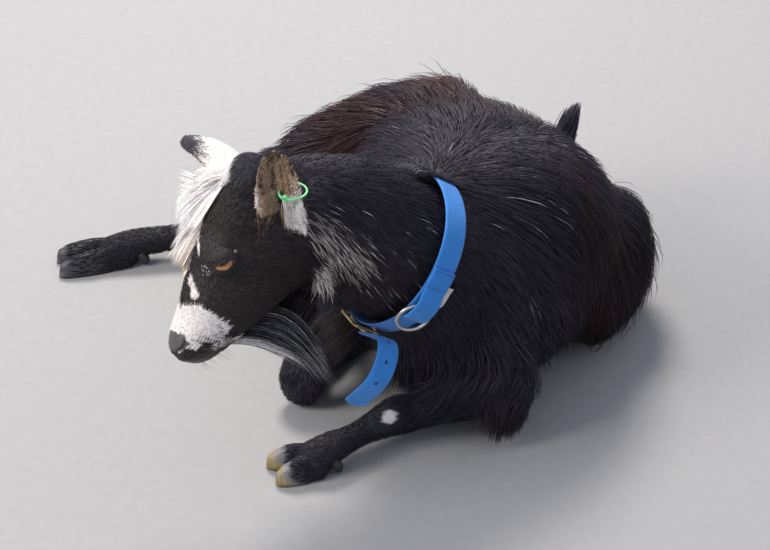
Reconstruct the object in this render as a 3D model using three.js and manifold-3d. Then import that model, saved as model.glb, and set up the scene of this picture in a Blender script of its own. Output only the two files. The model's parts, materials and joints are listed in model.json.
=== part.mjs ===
// A lying pygmy goat in its coat, with a webbing collar and a ring in one ear.
// Millimetres. The goat's front is -Y, its left side +X, and it lies on the floor at z = 0.
import * as THREE from "three";
import { mergeVertices } from "three/addons/utils/BufferGeometryUtils.js";
import Module from "manifold-3d";

const wasm = await Module();
wasm.setup();

// ---------------------------------------------------------------- driving dimensions

const GAP = 0.3; // clearance between neighbouring pieces
const V = (x, y, z) => new THREE.Vector3(x, y, z);
const UP = V(0, 0, 1);
const DEGREE = Math.PI / 180;

// The head has its own frame: it looks along -Y with its crown towards +Z, and its origin lies on
// the head's axis level with the lips.
const HEAD_AT = V(-164, -301, 182);
const HEAD_LEFT = V(0.687, -0.635, 0.354);
const HEAD_BACK = V(0.402, 0.737, 0.543);

const EYE_RADIUS = 12.5;
const EYE_AT = V(30, 92, 36);

const EAR_LENGTH = 74;
const EAR_HALF_WIDTH = 21;
const EAR_WALL = 4;

// Where the limbs bend, from the body outwards
const FORE_LEFT = {
  shoulder: V(62, -50, 130),
  elbow: V(88, -62, 62),
  knee: V(-18, -108, 30),
  fetlock: V(-62, -175, 24),
  coronet: V(-80, -190, 18),
  toe: V(-111, -206, 12),
};
const FORE_RIGHT = {
  shoulder: V(-62, -10, 120),
  elbow: V(-82, 12, 88),
  knee: V(-126, -88, 30),
  fetlock: V(-128, -10, 22),
  coronet: V(-127, 12, 22),
  toe: V(-122, 50, 18),
};
const HIND_RIGHT = {
  hip: V(-60, 208, 160),
  stifle: V(-205, 128, 122),
  hock: V(-305, 152, 42),
  fetlock: V(-392, 110, 24),
  coronet: V(-420, 93, 20),
  toe: V(-466, 65, 14),
};
const HIND_LEFT = {
  hip: V(80, 210, 90),
  stifle: V(118, 110, 60),
  hock: V(-34, 118, 28),
  fetlock: V(-108, 106, 21),
  coronet: V(-132, 102, 18),
  toe: V(-172, 94, 14),
};

const WEBBING_WIDTH = 25;
const WEBBING_THICK = 2.4;
const COLLAR_AT = V(-18.4, -92.4, 207.2);
const COLLAR_AXIS = V(-0.579, -0.599, 0.554).normalize(); // towards the head
const COLLAR_RADII = [68, 76]; // across the neck, and from nape to throat
const RING_RADIUS = 16;
const RING_WIRE = 1.8;
const BUCKLE_SIZE = [34, 34];
const BUCKLE_BAR = 3.2;
const HOLE_RADIUS = 2.2;
const EAR_RING_RADIUS = 12.5;
const EAR_RING_WIRE = 1.1;

// ---------------------------------------------------------------- solids

const toSolid = (geometry) => {
  const bare = new THREE.BufferGeometry();
  bare.setAttribute("position", geometry.getAttribute("position").clone());
  if (geometry.index) bare.setIndex(geometry.index.clone());
  const merged = mergeVertices(bare, 1e-3);
  const make = (triVerts) =>
    new wasm.Manifold(
      new wasm.Mesh({
        numProp: 3,
        vertProperties: Float32Array.from(merged.attributes.position.array),
        triVerts,
      }),
    );
  const triVerts = Uint32Array.from(merged.index.array);
  const solid = make(triVerts);
  return solid.volume() < 0 ? make(triVerts.reverse()) : solid;
};

const toGeometry = (solid) => {
  const mesh = solid.getMesh();
  const corners = new Float32Array(mesh.numVert * 3);
  for (let i = 0; i < mesh.numVert; i++)
    for (let k = 0; k < 3; k++)
      corners[3 * i + k] = mesh.vertProperties[mesh.numProp * i + k];
  const geometry = new THREE.BufferGeometry();
  geometry.setAttribute("position", new THREE.BufferAttribute(corners, 3));
  geometry.setIndex(new THREE.BufferAttribute(Uint32Array.from(mesh.triVerts), 1));
  return geometry;
};

const join = (...solids) => solids.reduce((a, b) => a.add(b));
const cut = (solid, ...tools) => tools.reduce((a, b) => a.subtract(b), solid);
const largest = (solid) =>
  solid.decompose().reduce((a, b) => (b.volume() > a.volume() ? b : a));

// A row of numbers that runs smoothly through evenly spaced rows
const through = (rows, t) => {
  const place = t * (rows.length - 1);
  const i = Math.min(Math.floor(place), rows.length - 2);
  const f = place - i;
  const row = (k) => rows[Math.max(0, Math.min(rows.length - 1, k))];
  return rows[0].map((_, k) => {
    const [a, b, c, d] = [row(i - 1)[k], row(i)[k], row(i + 1)[k], row(i + 2)[k]];
    return b + 0.5 * f * (c - a + f * (2 * a - 5 * b + 4 * c - d + f * (3 * (b - c) + d - a)));
  });
};

// A closed body through stations { at, up, size: [side, top, under], round, lean }, with domed ends.
// round is 1 for an ellipse and less for a squarer section; lean shears a section forwards.
const loft = (stations, { rings = 12, around = 16, domes = [8, 8], grow = 0 } = {}) => {
  const rows = stations.map(({ at, up = UP, size, round = 1, lean = 0 }) => [
    ...at.toArray(),
    ...up.toArray(),
    ...size,
    round,
    lean,
  ]);
  const centre = (t) => V(...through(rows, t));
  const ring = (t, shrink, push) => {
    const [x, y, z, ux, uy, uz, side, top, under, round, lean] = through(rows, t);
    const step = 1e-3;
    const ahead = centre(Math.min(1, t + step)).sub(centre(Math.max(0, t - step))).normalize();
    const across = V(ux, uy, uz).cross(ahead).normalize();
    const high = ahead.clone().cross(across).normalize();
    return Array.from({ length: around }, (_, k) => {
      const a = (2 * Math.PI * k) / around;
      const [c, s] = [Math.cos(a), Math.sin(a)];
      const wide = (side + grow) * Math.sign(c) * Math.abs(c) ** round * shrink;
      const tall = ((s > 0 ? top : under) + grow) * Math.sign(s) * Math.abs(s) ** round * shrink;
      return V(x, y, z)
        .addScaledVector(across, wide)
        .addScaledVector(high, tall)
        .addScaledVector(ahead, push + lean * tall);
    });
  };
  const dome = (t, length) =>
    (around > 12 ? [35, 62] : [50]).map((a) =>
      ring(t, Math.cos(a * DEGREE), length * Math.sin(a * DEGREE)),
    );
  const [start, end] = [-(domes[0] + grow), domes[1] + grow];
  const loops = [
    ...dome(0, start).reverse(),
    ...Array.from({ length: rings + 1 }, (_, i) => ring(i / rings, 1, 0)),
    ...dome(1, end),
  ];
  const points = [...loops.flat(), ring(0, 0, start)[0], ring(1, 0, end)[0]];
  const faces = [];
  for (let r = 0; r + 1 < loops.length; r++)
    for (let k = 0; k < around; k++) {
      const [a, b] = [r * around + k, r * around + ((k + 1) % around)];
      faces.push(a, b, b + around, a, b + around, a + around);
    }
  const last = (loops.length - 1) * around;
  for (let k = 0; k < around; k++) {
    const next = (k + 1) % around;
    faces.push(points.length - 2, next, k);
    faces.push(points.length - 1, last + k, last + next);
  }
  const geometry = new THREE.BufferGeometry().setFromPoints(points);
  geometry.setIndex(faces);
  return toSolid(geometry);
};

const ball = (at, radii, grow = 0, around = 10) => {
  const geometry = new THREE.SphereGeometry(1, around, around / 2);
  geometry.scale(...radii.map((r) => r + grow));
  geometry.translate(...at.toArray());
  return toSolid(geometry);
};

// A piece made in the frame { at, left, back }, placed in the goat
const frameOf = (at, left, back) => {
  const x = left.clone().normalize();
  const z = x.clone().cross(back).normalize();
  const y = z.clone().cross(x);
  return new THREE.Matrix4().makeBasis(x, y, z).setPosition(at);
};
const placed = (solid, matrix) => toSolid(toGeometry(solid).applyMatrix4(matrix));
const HEAD = frameOf(HEAD_AT, HEAD_LEFT, HEAD_BACK);

const FLOOR = toSolid(new THREE.BoxGeometry(3000, 3000, 400).translate(0, 0, -200));

// ---------------------------------------------------------------- body

const trunk = (grow) =>
  join(
    loft(
      [
        { at: V(-4, -74, 134), size: [68, 66, 126] },
        { at: V(3, -40, 138), size: [96, 134, 140] },
        { at: V(8, 20, 136), up: V(0.1, 0, 1), size: [126, 134, 138], round: 0.94 },
        { at: V(0, 90, 130), up: V(0.25, 0, 1), size: [146, 124, 134], round: 0.9 },
        { at: V(-24, 150, 124), up: V(0.35, 0, 1), size: [140, 116, 132], round: 0.9 },
        { at: V(-42, 205, 112), up: V(0.4, 0, 1), size: [110, 98, 116], round: 0.94 },
      ],
      { rings: 10, around: 20, domes: [34, 50], grow },
    ),
    ball(V(-16, 234, 88), [92, 58, 86], grow, 12), // rump
    ball(V(58, -44, 140), [48, 56, 96], grow, 12), // left shoulder
    ball(V(-58, -18, 124), [44, 58, 84], grow, 12), // right shoulder
    // The long fringe that hangs from the left elbow to the floor
    loft(
      [
        { at: V(66, -40, 100), size: [46, 40, 40] },
        { at: V(80, -44, 55), size: [38, 40, 36] },
        { at: V(84, -50, 12), size: [24, 30, 20] },
      ],
      { rings: 3, around: 10, domes: [10, 10], grow },
    ),
    ball(V(-98, 110, 108), [70, 84, 92], grow), // right flank fold
  );

const neck = (grow) =>
  loft(
    [
      { at: V(16, -52, 168), up: V(0.4, 0.4, 0.83), size: [68, 84, 82] },
      { at: COLLAR_AT, up: V(0.4, 0.4, 0.83), size: [65.5, 73.5, 73.5] },
      { at: V(-60, -136, 246), up: V(0.4, 0.5, 0.77), size: [62, 76, 74] },
      { at: V(-100, -180, 278), up: V(0.2, 0.6, 0.77), size: [52, 62, 66] },
    ],
    { rings: 5, around: 14, domes: [60, 20], grow },
  );

const limb = (stations, around, rings, domes, grow) =>
  loft(stations, { rings, around, domes, grow });

const foreLeftUpper = (grow) =>
  limb(
    [
      { at: FORE_LEFT.elbow, size: [30, 34, 34] },
      { at: V(52, -78, 52), size: [26, 32, 30] },
      { at: V(14, -94, 38), size: [22, 24, 24] },
      { at: FORE_LEFT.knee.clone().add(V(6, 4, 1)), size: [22, 22, 24] },
    ],
    10,
    4,
    [22, 4],
    grow,
  );
const foreLeftLower = (grow) =>
  limb(
    [
      { at: FORE_LEFT.knee, size: [22, 22, 24] },
      { at: V(-36, -134, 27), size: [16, 16, 18] },
      { at: V(-50, -156, 25), size: [15, 15, 17] },
      { at: FORE_LEFT.fetlock, size: [19, 18, 19] },
      { at: FORE_LEFT.coronet, size: [18, 15, 17] },
    ],
    10,
    5,
    [12, 5],
    grow,
  );
const foreRightUpper = (grow) =>
  limb(
    [
      { at: V(-74, 8, 112), up: V(-1, 0, 0.4), size: [40, 32, 32] },
      { at: FORE_RIGHT.elbow, up: V(-1, 0, 0.4), size: [36, 31, 31] },
      { at: V(-102, -30, 66), up: V(-1, 0, 0.4), size: [28, 26, 26] },
      { at: V(-120, -70, 44), up: V(-1, 0, 0.4), size: [28, 28, 25] },
      { at: FORE_RIGHT.knee, up: V(-1, 0, 0.4), size: [29, 29, 25] },
    ],
    10,
    5,
    [30, 10],
    grow,
  );
const foreRightLower = (grow) =>
  limb(
    [
      { at: V(-126, -94, 24), size: [26, 22, 24] },
      { at: V(-129, -54, 19), size: [15, 14, 19] },
      { at: FORE_RIGHT.fetlock, size: [18, 16, 20] },
      { at: FORE_RIGHT.coronet, size: [17, 15, 18] },
    ],
    10,
    4,
    [8, 5],
    grow,
  );
const hindRightUpper = (grow) =>
  join(
    loft(
      [
        { at: HIND_RIGHT.hip, size: [66, 82, 84] },
        { at: V(-128, 182, 138), size: [66, 88, 90] },
        { at: V(-196, 150, 120), size: [56, 74, 74] },
      ],
      { rings: 4, around: 12, domes: [40, 46], grow },
    ),
    loft(
      [
        { at: V(-196, 142, 112), size: [52, 60, 62] },
        { at: V(-252, 144, 84), size: [38, 48, 50] },
        { at: HIND_RIGHT.hock, size: [22, 21, 24] },
      ],
      { rings: 3, around: 10, domes: [30, 12], grow },
    ),
  );
const hindRightLower = (grow) =>
  limb(
    [
      { at: HIND_RIGHT.hock, size: [21, 19, 23] },
      { at: V(-345, 134, 30), size: [16, 15, 18] },
      { at: HIND_RIGHT.fetlock, size: [19, 17, 19] },
      { at: HIND_RIGHT.coronet, size: [18, 15, 17] },
    ],
    10,
    5,
    [10, 5],
    grow,
  );
const hindLeftLower = (grow) =>
  limb(
    [
      { at: HIND_LEFT.hock, size: [21, 19, 22] },
      { at: V(-72, 112, 23), size: [16, 15, 17] },
      { at: HIND_LEFT.fetlock, size: [19, 17, 18] },
      { at: HIND_LEFT.coronet, size: [18, 15, 16] },
    ],
    10,
    4,
    [10, 5],
    grow,
  );
const hindLeftUpper = (grow) =>
  loft(
    [
      { at: HIND_LEFT.hip, size: [70, 60, 80] },
      { at: V(112, 160, 74), size: [56, 62, 70] },
      { at: V(112, 105, 60), size: [44, 52, 56] },
    ],
    { rings: 3, around: 12, domes: [36, 40], grow },
  );

const tail = (grow) =>
  loft(
    [
      { at: V(20, 276, 112), up: V(0, 1, 0), size: [22, 20, 20] },
      { at: V(24, 300, 132), up: V(0, 1, 0), size: [18, 15, 16] },
      { at: V(28, 312, 152), up: V(0, 1, 0), size: [10, 9, 10] },
      { at: V(33, 317, 172), up: V(0, 1, 0), size: [3, 3, 3] },
    ],
    { rings: 5, around: 9, domes: [14, 6], grow },
  );

// ---------------------------------------------------------------- head

const skull = (grow) => {
  const rows = [
    // behind the lips, side, top, under, round
    [8, 19, 13, 17, 0.86],
    [15, 24, 18, 25, 0.84],
    [29, 26, 24, 31, 0.84],
    [45, 28, 32, 33, 0.84],
    [62, 32, 41, 36, 0.86],
    [80, 37, 52, 39, 0.9],
    [98, 41, 62, 41, 0.92],
    [116, 43, 69, 42, 0.92],
    [134, 43, 74, 42, 0.94],
    [152, 41, 77, 41, 0.96],
    [170, 37, 76, 38, 1],
    [186, 30, 62, 32, 1],
  ];
  const side = rows.map(([back, ...size]) => ({
    at: V(0, back, 0),
    size: size.slice(0, 3),
    round: size[3],
  }));
  const pair = (make) => [1, -1].map(make);
  const whole = join(
    loft(side, { rings: 11, around: 16, domes: [7, 10], grow }),
    ...pair((s) => ball(V(s * 23, 99, 44), [16, 23, 15], grow, 8)), // brow and socket rim
    ...pair((s) => ball(V(s * 29, 130, -8), [17, 36, 32], grow)), // cheek
    ball(V(0, 164, 62), [36, 30, 22], grow), // poll
    ball(V(0, 19, -15), [17, 12, 11], grow, 8), // lower lip
  );
  return placed(whole, HEAD);
};

const eye = (s, grow = 0) =>
  placed(ball(V(s * EYE_AT.x, EYE_AT.y, EYE_AT.z), Array(3).fill(EYE_RADIUS), grow, 12), HEAD);

// A cupped leaf with a blunt tip: rows run from root to tip and columns from rim to rim
const earFrame = ({ along, open }) => {
  const y = along.clone().normalize();
  const x = y.clone().cross(open).normalize();
  return [x, y, x.clone().cross(y).normalize()];
};
const earPoint = (ear, s, t, layer = 0) => {
  const [x, y, z] = earFrame(ear);
  const half = EAR_HALF_WIDTH * (1 - 0.26 * s) * Math.sqrt(1 - 0.96 * s ** 6);
  const curl = 1.25 - 0.6 * s; // the rims curl in most near the root
  const radius = half / Math.sin(curl) + layer;
  return ear.at
    .clone()
    .addScaledVector(y, s * ear.length)
    .addScaledVector(x, radius * Math.sin(t * curl))
    .addScaledVector(z, half / Math.sin(curl) - radius * Math.cos(t * curl) - 7 * Math.sin(Math.PI * s));
};
const earShell = (ear, grow = 0) => {
  const [rows, columns] = [6, 6];
  const wall = (s, t) => (EAR_WALL * (1 - 0.45 * Math.abs(t) ** 3) * (1 - 0.4 * s)) / 2 + grow;
  const points = [];
  for (const face of [-1, 1])
    for (let i = 0; i <= rows; i++)
      for (let j = 0; j <= columns; j++) {
        const [s, t] = [Math.sin((i / rows) * (Math.PI / 2)), (2 * j) / columns - 1];
        const past = ((2 * i) / rows - 1) * grow;
        const point = earPoint(ear, s, t * (1 + grow / 10), face * wall(s, t));
        points.push(point.addScaledVector(ear.along, past));
      }
  const faces = [];
  const id = (f, i, j) => f * (rows + 1) * (columns + 1) + i * (columns + 1) + j;
  const quad = (a, b, c, d) => faces.push(a, b, c, a, c, d);
  for (let i = 0; i < rows; i++)
    for (let j = 0; j < columns; j++) {
      quad(id(0, i, j), id(0, i, j + 1), id(0, i + 1, j + 1), id(0, i + 1, j));
      quad(id(1, i, j), id(1, i + 1, j), id(1, i + 1, j + 1), id(1, i, j + 1));
    }
  for (let i = 0; i < rows; i++) {
    quad(id(0, i, 0), id(0, i + 1, 0), id(1, i + 1, 0), id(1, i, 0));
    quad(id(0, i, columns), id(1, i, columns), id(1, i + 1, columns), id(0, i + 1, columns));
  }
  for (let j = 0; j < columns; j++) {
    quad(id(0, 0, j), id(1, 0, j), id(1, 0, j + 1), id(0, 0, j + 1));
    quad(id(0, rows, j), id(0, rows, j + 1), id(1, rows, j + 1), id(1, rows, j));
  }
  const geometry = new THREE.BufferGeometry().setFromPoints(points);
  geometry.setIndex(faces);
  return toSolid(geometry);
};
const inHead = (x, y, z) => V(x, y, z).transformDirection(HEAD).normalize();
const EAR_LEFT = {
  at: V(35.5, 155, 22).applyMatrix4(HEAD),
  along: inHead(0.397, 0.444, 0.803),
  open: inHead(0.822, -0.563, -0.086),
  length: EAR_LENGTH,
};
const EAR_RIGHT = {
  at: V(-33, 176, 60).applyMatrix4(HEAD),
  along: inHead(-0.88, -0.05, 0.47),
  open: inHead(-0.3, -0.6, -0.75),
  length: EAR_LENGTH,
};

// The tuft that stands on the forehead, right of the midline
const forelock = (grow) =>
  placed(
    loft(
      [
        { at: V(-20, 76, 34), size: [8, 9, 10] },
        { at: V(-22, 92, 48), size: [12, 24, 20] },
        { at: V(-24, 110, 58), size: [14, 43, 20] },
        { at: V(-24, 128, 64), size: [15, 44, 20] },
        { at: V(-22, 147, 66), size: [16, 34, 20] },
        { at: V(-18, 166, 66), size: [16, 18, 20] },
      ],
      { rings: 5, around: 8, domes: [5, 12], grow },
    ),
    HEAD,
  );

const beard = (grow) =>
  placed(
    loft(
      [
        { at: V(0, 62, -30), up: V(0, -1, 0), size: [18, 38, 36] },
        { at: V(0, 72, -60), up: V(0, -1, 0), size: [17, 34, 30] },
        { at: V(0, 84, -90), up: V(0, -1, 0), size: [13, 24, 20] },
        { at: V(0, 91, -115), up: V(0, -1, 0), size: [8, 13, 12] },
        { at: V(0, 92, -132), up: V(0, -1, 0), size: [3, 4, 4] },
      ],
      { rings: 5, around: 10, domes: [8, 5], grow },
    ),
    HEAD,
  );

const wattle = (s, grow) => {
  const top = V(s * 37, 139, -50).applyMatrix4(HEAD);
  return loft(
    [
      { at: top, up: V(0, 1, 0), size: [5.5, 5.5, 5.5] },
      { at: top.clone().add(V(0, 0, -14)), up: V(0, 1, 0), size: [5, 5, 5] },
      { at: top.clone().add(V(0, 0, -28)), up: V(0, 1, 0), size: [7, 7, 7] },
    ],
    { rings: 3, around: 8, domes: [4, 6], grow },
  );
};

// ---------------------------------------------------------------- feet

// One claw of a hoof: a wedge with a flat sole, from the coronet to the toe
const claw = (leg, s, grow = 0) => {
  const ahead = leg.toe.clone().sub(leg.coronet).setZ(0).normalize();
  const across = UP.clone().cross(ahead);
  const spot = (share, out) =>
    leg.coronet
      .clone()
      .lerp(leg.toe, share)
      .addScaledVector(across, s * out)
      .setZ(0);
  return loft(
    [
      { at: spot(0.12, 9.5), size: [8.5, 26, 6], round: 0.85 },
      { at: spot(0.45, 10.5), size: [9.5, 23, 6], round: 0.85 },
      { at: spot(0.8, 10.5), size: [8.5, 15, 6], round: 0.85 },
      { at: spot(1.05, 9), size: [5.5, 8, 6], round: 0.9 },
    ],
    { rings: 3, around: 8, domes: [3, 5], grow },
  );
};
const dewclaw = (leg, s, grow = 0) => {
  const ahead = leg.coronet.clone().sub(leg.fetlock).setZ(0).normalize();
  const across = UP.clone().cross(ahead);
  const at = leg.fetlock
    .clone()
    .addScaledVector(across, s * 17)
    .addScaledVector(ahead, 2)
    .setZ(9);
  return ball(at, [7, 7, 6], grow, 7);
};

// ---------------------------------------------------------------- collar

// Collar frame: x to the goat's left, y from throat to nape, z towards the head
const COLLAR = frameOf(
  COLLAR_AT,
  UP.clone().cross(COLLAR_AXIS),
  COLLAR_AXIS.clone().cross(UP.clone().cross(COLLAR_AXIS)),
);
// A point outside the inner face of the band by a given height, at an angle round from the left side
const bandPoint = (angle, height) => {
  const [c, s] = [Math.cos(angle * DEGREE), Math.sin(angle * DEGREE)];
  const out = V(c / COLLAR_RADII[0], s / COLLAR_RADII[1], 0).normalize();
  return V(COLLAR_RADII[0] * c, COLLAR_RADII[1] * s, 0).addScaledVector(out, height);
};
const extruded = (points, width, grow = 0) => {
  const geometry = new THREE.ExtrudeGeometry(new THREE.Shape(points), {
    depth: width + 2 * grow,
    bevelEnabled: false,
  });
  geometry.translate(0, 0, -width / 2 - grow);
  return toSolid(geometry);
};
const collarBand = (grow = 0) => {
  const loop = (height) => Array.from({ length: 40 }, (_, k) => bandPoint(k * 9, height));
  const outer = extruded(loop(WEBBING_THICK + grow), WEBBING_WIDTH, grow);
  return placed(cut(outer, extruded(loop(-grow), WEBBING_WIDTH + 2, grow)), COLLAR);
};

// The band's end is folded back over the ring and sewn down: a second layer with a bulge at its end
const collarFold = (grow = 0) => {
  const line = [
    [12, 0], [6, 0], [0, 0], [-5, 0.5], [-9, 2.8], [-13, 5], [-20, 5.4], [-26, 4.6], [-30, 1.5],
  ];
  const under = line.map(([a, lift]) => bandPoint(a, WEBBING_THICK + GAP + lift - grow));
  const over = line.map(([a, lift]) => bandPoint(a, 2 * WEBBING_THICK + GAP + lift + grow));
  return placed(extruded([...under, ...over.reverse()], WEBBING_WIDTH, grow), COLLAR);
};

const collarRing = (grow = 0) => {
  const [angle, reach] = [-21, Math.sqrt(RING_RADIUS ** 2 - (WEBBING_WIDTH / 2) ** 2)];
  const held = bandPoint(angle, WEBBING_THICK + GAP + RING_WIRE + 0.3);
  const out = bandPoint(angle, 1).sub(bandPoint(angle, 0));
  const down = out.clone().cross(V(0, 0, 1)).normalize();
  const geometry = new THREE.TorusGeometry(RING_RADIUS, RING_WIRE + grow, 6, 18);
  geometry.applyMatrix4(frameOf(held.addScaledVector(down, reach), down, V(0, 0, 1)));
  return placed(toSolid(geometry), COLLAR);
};

const collarLabel = (grow = 0) => {
  const [from, to] = [-14, 2];
  const edge = (height) => [from, (from + to) / 2, to].map((a) => bandPoint(a, height));
  const shape = [...edge(WEBBING_THICK - 0.9 - grow), ...edge(WEBBING_THICK + grow).reverse()];
  const tab = extruded(shape, 7, grow).translate([0, 0, -WEBBING_WIDTH / 2 - 3.5 - GAP]);
  return placed(tab, COLLAR);
};

// The buckle lies flat against the band at the throat: a square frame with a pin across it
const buckleAt = (height) => bandPoint(-90, WEBBING_THICK + height);
const buckleFrame = (grow = 0) => {
  const bar = (x, y, w, d) =>
    new THREE.BoxGeometry(w + 2 * grow, BUCKLE_BAR + 2 * grow, d + 2 * grow).translate(x, 0, y);
  const [long, wide] = BUCKLE_SIZE;
  const rails = [
    bar((long - BUCKLE_BAR) / 2, 0, BUCKLE_BAR, wide),
    bar((BUCKLE_BAR - long) / 2, 0, BUCKLE_BAR, wide),
    bar(0, (wide - BUCKLE_BAR) / 2, long, BUCKLE_BAR),
    bar(0, (BUCKLE_BAR - wide) / 2, long, BUCKLE_BAR),
  ];
  const at = buckleAt(GAP + BUCKLE_BAR / 2 + 0.3);
  return placed(join(...rails.map((g) => toSolid(g.translate(...at.toArray())))), COLLAR);
};
const bucklePin = (grow = 0) => {
  const geometry = new THREE.CapsuleGeometry(1.3 + grow, BUCKLE_SIZE[0] - 4, 3, 8);
  geometry.rotateZ(Math.PI / 2);
  geometry.translate(...buckleAt(2 * GAP + BUCKLE_BAR + 1.9).toArray());
  return placed(toSolid(geometry), COLLAR);
};

// The free end comes out of the buckle, stands off the band and hangs down
const strapEnd = (grow = 0) => {
  const path = [
    [21, -84], [34, -78], [47, -73], [58, -79], [66, -93], [67, -112], [57, -136],
  ].map(([x, y]) => V(x, y, 0));
  const half = WEBBING_THICK / 2;
  const stations = path.map((at, i) => {
    const ahead = (path[i + 1] ?? at).clone().sub(path[i - 1] ?? at).normalize();
    return { at, up: ahead.clone().cross(V(0, 0, 1)), size: [WEBBING_WIDTH / 2, half, half], round: 0.3 };
  });
  const holes = [2.4, 3.7, 4.9].map((place) => {
    const rows = stations.map(({ at, up }) => [...at.toArray(), ...up.toArray()]);
    const [x, y, z, ux, uy, uz] = through(rows, place / (rows.length - 1));
    const pin = new THREE.CylinderGeometry(HOLE_RADIUS, HOLE_RADIUS, 12, 8);
    const turn = new THREE.Quaternion().setFromUnitVectors(V(0, 1, 0), V(ux, uy, uz).normalize());
    return toSolid(pin.applyQuaternion(turn).translate(x, y, z));
  });
  const ribbon = loft(stations, { rings: 9, around: 8, domes: [1, 7], grow });
  return placed(grow ? ribbon : cut(ribbon, ...holes), COLLAR);
};

// ---------------------------------------------------------------- ear ring

// A light plastic ring that passes through the ear and round its rear rim
const earRing = (grow = 0) => {
  const [x, , z] = earFrame(EAR_LEFT);
  const at = earPoint(EAR_LEFT, 0.37, 0.6);
  const geometry = new THREE.TorusGeometry(EAR_RING_RADIUS, EAR_RING_WIRE + grow, 5, 16);
  geometry.rotateX(Math.PI / 2);
  geometry.applyMatrix4(new THREE.Matrix4().makeBasis(x, z.clone().cross(x), z));
  geometry.translate(...at.toArray());
  return toSolid(geometry);
};

// ---------------------------------------------------------------- the goat

const body = new THREE.Group();
const coat = { color: 0x14131a, roughness: 0.75, metalness: 0 };
const horn = { color: 0x6f6a5c, roughness: 0.5, metalness: 0 };
const add = (name, solid, look) => {
  const mesh = new THREE.Mesh(toGeometry(largest(solid)), new THREE.MeshStandardMaterial(look));
  mesh.name = name;
  body.add(mesh);
};

// Each flesh piece gives way to the ones named before it, and all of them to the floor
const taken = [];
const flesh = (name, make, look = coat) => {
  const solid = cut(make(0), FLOOR, ...taken.map((other) => other(GAP)));
  taken.push(make);
  add(name, solid, look);
};

const blue = { color: 0x2f72c0, roughness: 0.8, metalness: 0 };
const brass = { color: 0xb79a64, roughness: 0.3, metalness: 1 };
const worn = {
  collar_band: [collarBand, blue],
  collar_fold: [collarFold, blue],
  collar_ring: [collarRing, brass],
  collar_label: [collarLabel, { color: 0xe6e3da, roughness: 0.9, metalness: 0 }],
  buckle_frame: [buckleFrame, brass],
  buckle_pin: [bucklePin, brass],
  collar_strap_end: [strapEnd, blue],
  ear_ring: [earRing, { color: 0x7fd08a, roughness: 0.5, metalness: 0 }],
};
for (const [name, [make, look]] of Object.entries(worn)) {
  add(name, make(), look);
  taken.push(make);
}
for (const [name, s] of Object.entries({ eye_left: 1, eye_right: -1 })) {
  add(name, eye(s), { color: 0xb8742a, roughness: 0.15, metalness: 0 });
  taken.push((grow) => eye(s, grow));
}
const feet = { fore_left: FORE_LEFT, fore_right: FORE_RIGHT, hind_left: HIND_LEFT, hind_right: HIND_RIGHT };
for (const [name, leg] of Object.entries(feet))
  for (const [side, s] of Object.entries({ a: 1, b: -1 })) {
    add(`claw_${name}_${side}`, cut(claw(leg, s), FLOOR), horn);
    taken.push((grow) => claw(leg, s, grow));
    add(`dewclaw_${name}_${side}`, cut(dewclaw(leg, s), FLOOR), horn);
    taken.push((grow) => dewclaw(leg, s, grow));
  }
flesh("head", skull);
flesh("trunk", trunk);
flesh("ear_left", (grow) => earShell(EAR_LEFT, grow));
flesh("ear_right", (grow) => earShell(EAR_RIGHT, grow));
flesh("forelock", forelock);
flesh("beard", beard);
flesh("wattle_left", (grow) => wattle(1, grow));
flesh("wattle_right", (grow) => wattle(-1, grow));
flesh("neck", neck);
flesh("foreleg_left_lower", foreLeftLower);
flesh("foreleg_left_upper", foreLeftUpper);
flesh("foreleg_right_lower", foreRightLower);
flesh("foreleg_right_upper", foreRightUpper);
flesh("hindleg_right_lower", hindRightLower);
flesh("hindleg_right_upper", hindRightUpper);
flesh("hindleg_left_lower", hindLeftLower);
flesh("hindleg_left_upper", hindLeftUpper);
flesh("tail", tail);

// The origin is on the floor under the middle of the goat
const goat = new THREE.Group();
goat.add(body);
const middle = new THREE.Box3().setFromObject(body).getCenter(V(0, 0, 0));
body.position.set(-middle.x, -middle.y, 0);

export default goat;
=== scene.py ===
import json
import math

import bmesh
import bpy
import numpy as np
from mathutils import Matrix, Vector
from mathutils.bvhtree import BVHTree
from mathutils.kdtree import KDTree

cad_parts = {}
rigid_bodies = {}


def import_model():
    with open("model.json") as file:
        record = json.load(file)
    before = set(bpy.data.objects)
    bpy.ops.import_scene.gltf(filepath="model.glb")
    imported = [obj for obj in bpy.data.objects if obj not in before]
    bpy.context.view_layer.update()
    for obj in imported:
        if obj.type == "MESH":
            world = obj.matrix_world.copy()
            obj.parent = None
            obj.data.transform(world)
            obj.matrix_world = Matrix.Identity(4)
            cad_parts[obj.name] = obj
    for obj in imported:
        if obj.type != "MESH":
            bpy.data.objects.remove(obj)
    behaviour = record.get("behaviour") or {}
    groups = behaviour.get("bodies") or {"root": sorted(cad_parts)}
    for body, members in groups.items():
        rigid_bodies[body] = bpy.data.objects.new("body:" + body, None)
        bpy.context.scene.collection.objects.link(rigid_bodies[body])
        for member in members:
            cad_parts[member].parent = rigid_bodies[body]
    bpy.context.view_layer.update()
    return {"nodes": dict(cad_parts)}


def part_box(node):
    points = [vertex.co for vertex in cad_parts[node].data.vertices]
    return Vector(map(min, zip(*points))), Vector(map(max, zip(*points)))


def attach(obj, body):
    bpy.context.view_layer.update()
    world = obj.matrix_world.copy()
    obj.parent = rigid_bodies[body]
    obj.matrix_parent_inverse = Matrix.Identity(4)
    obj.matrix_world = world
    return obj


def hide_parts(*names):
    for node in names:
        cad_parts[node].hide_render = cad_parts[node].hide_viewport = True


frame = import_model()

# ---------------------------------------------------------------- camera, floor and light
# A long lens looks down at the goat from its front left. The floor is plain and pale, under a
# wide soft lamp from behind and above, a dim one from the left, and an even bluish surround.

MM = 0.001


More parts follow.
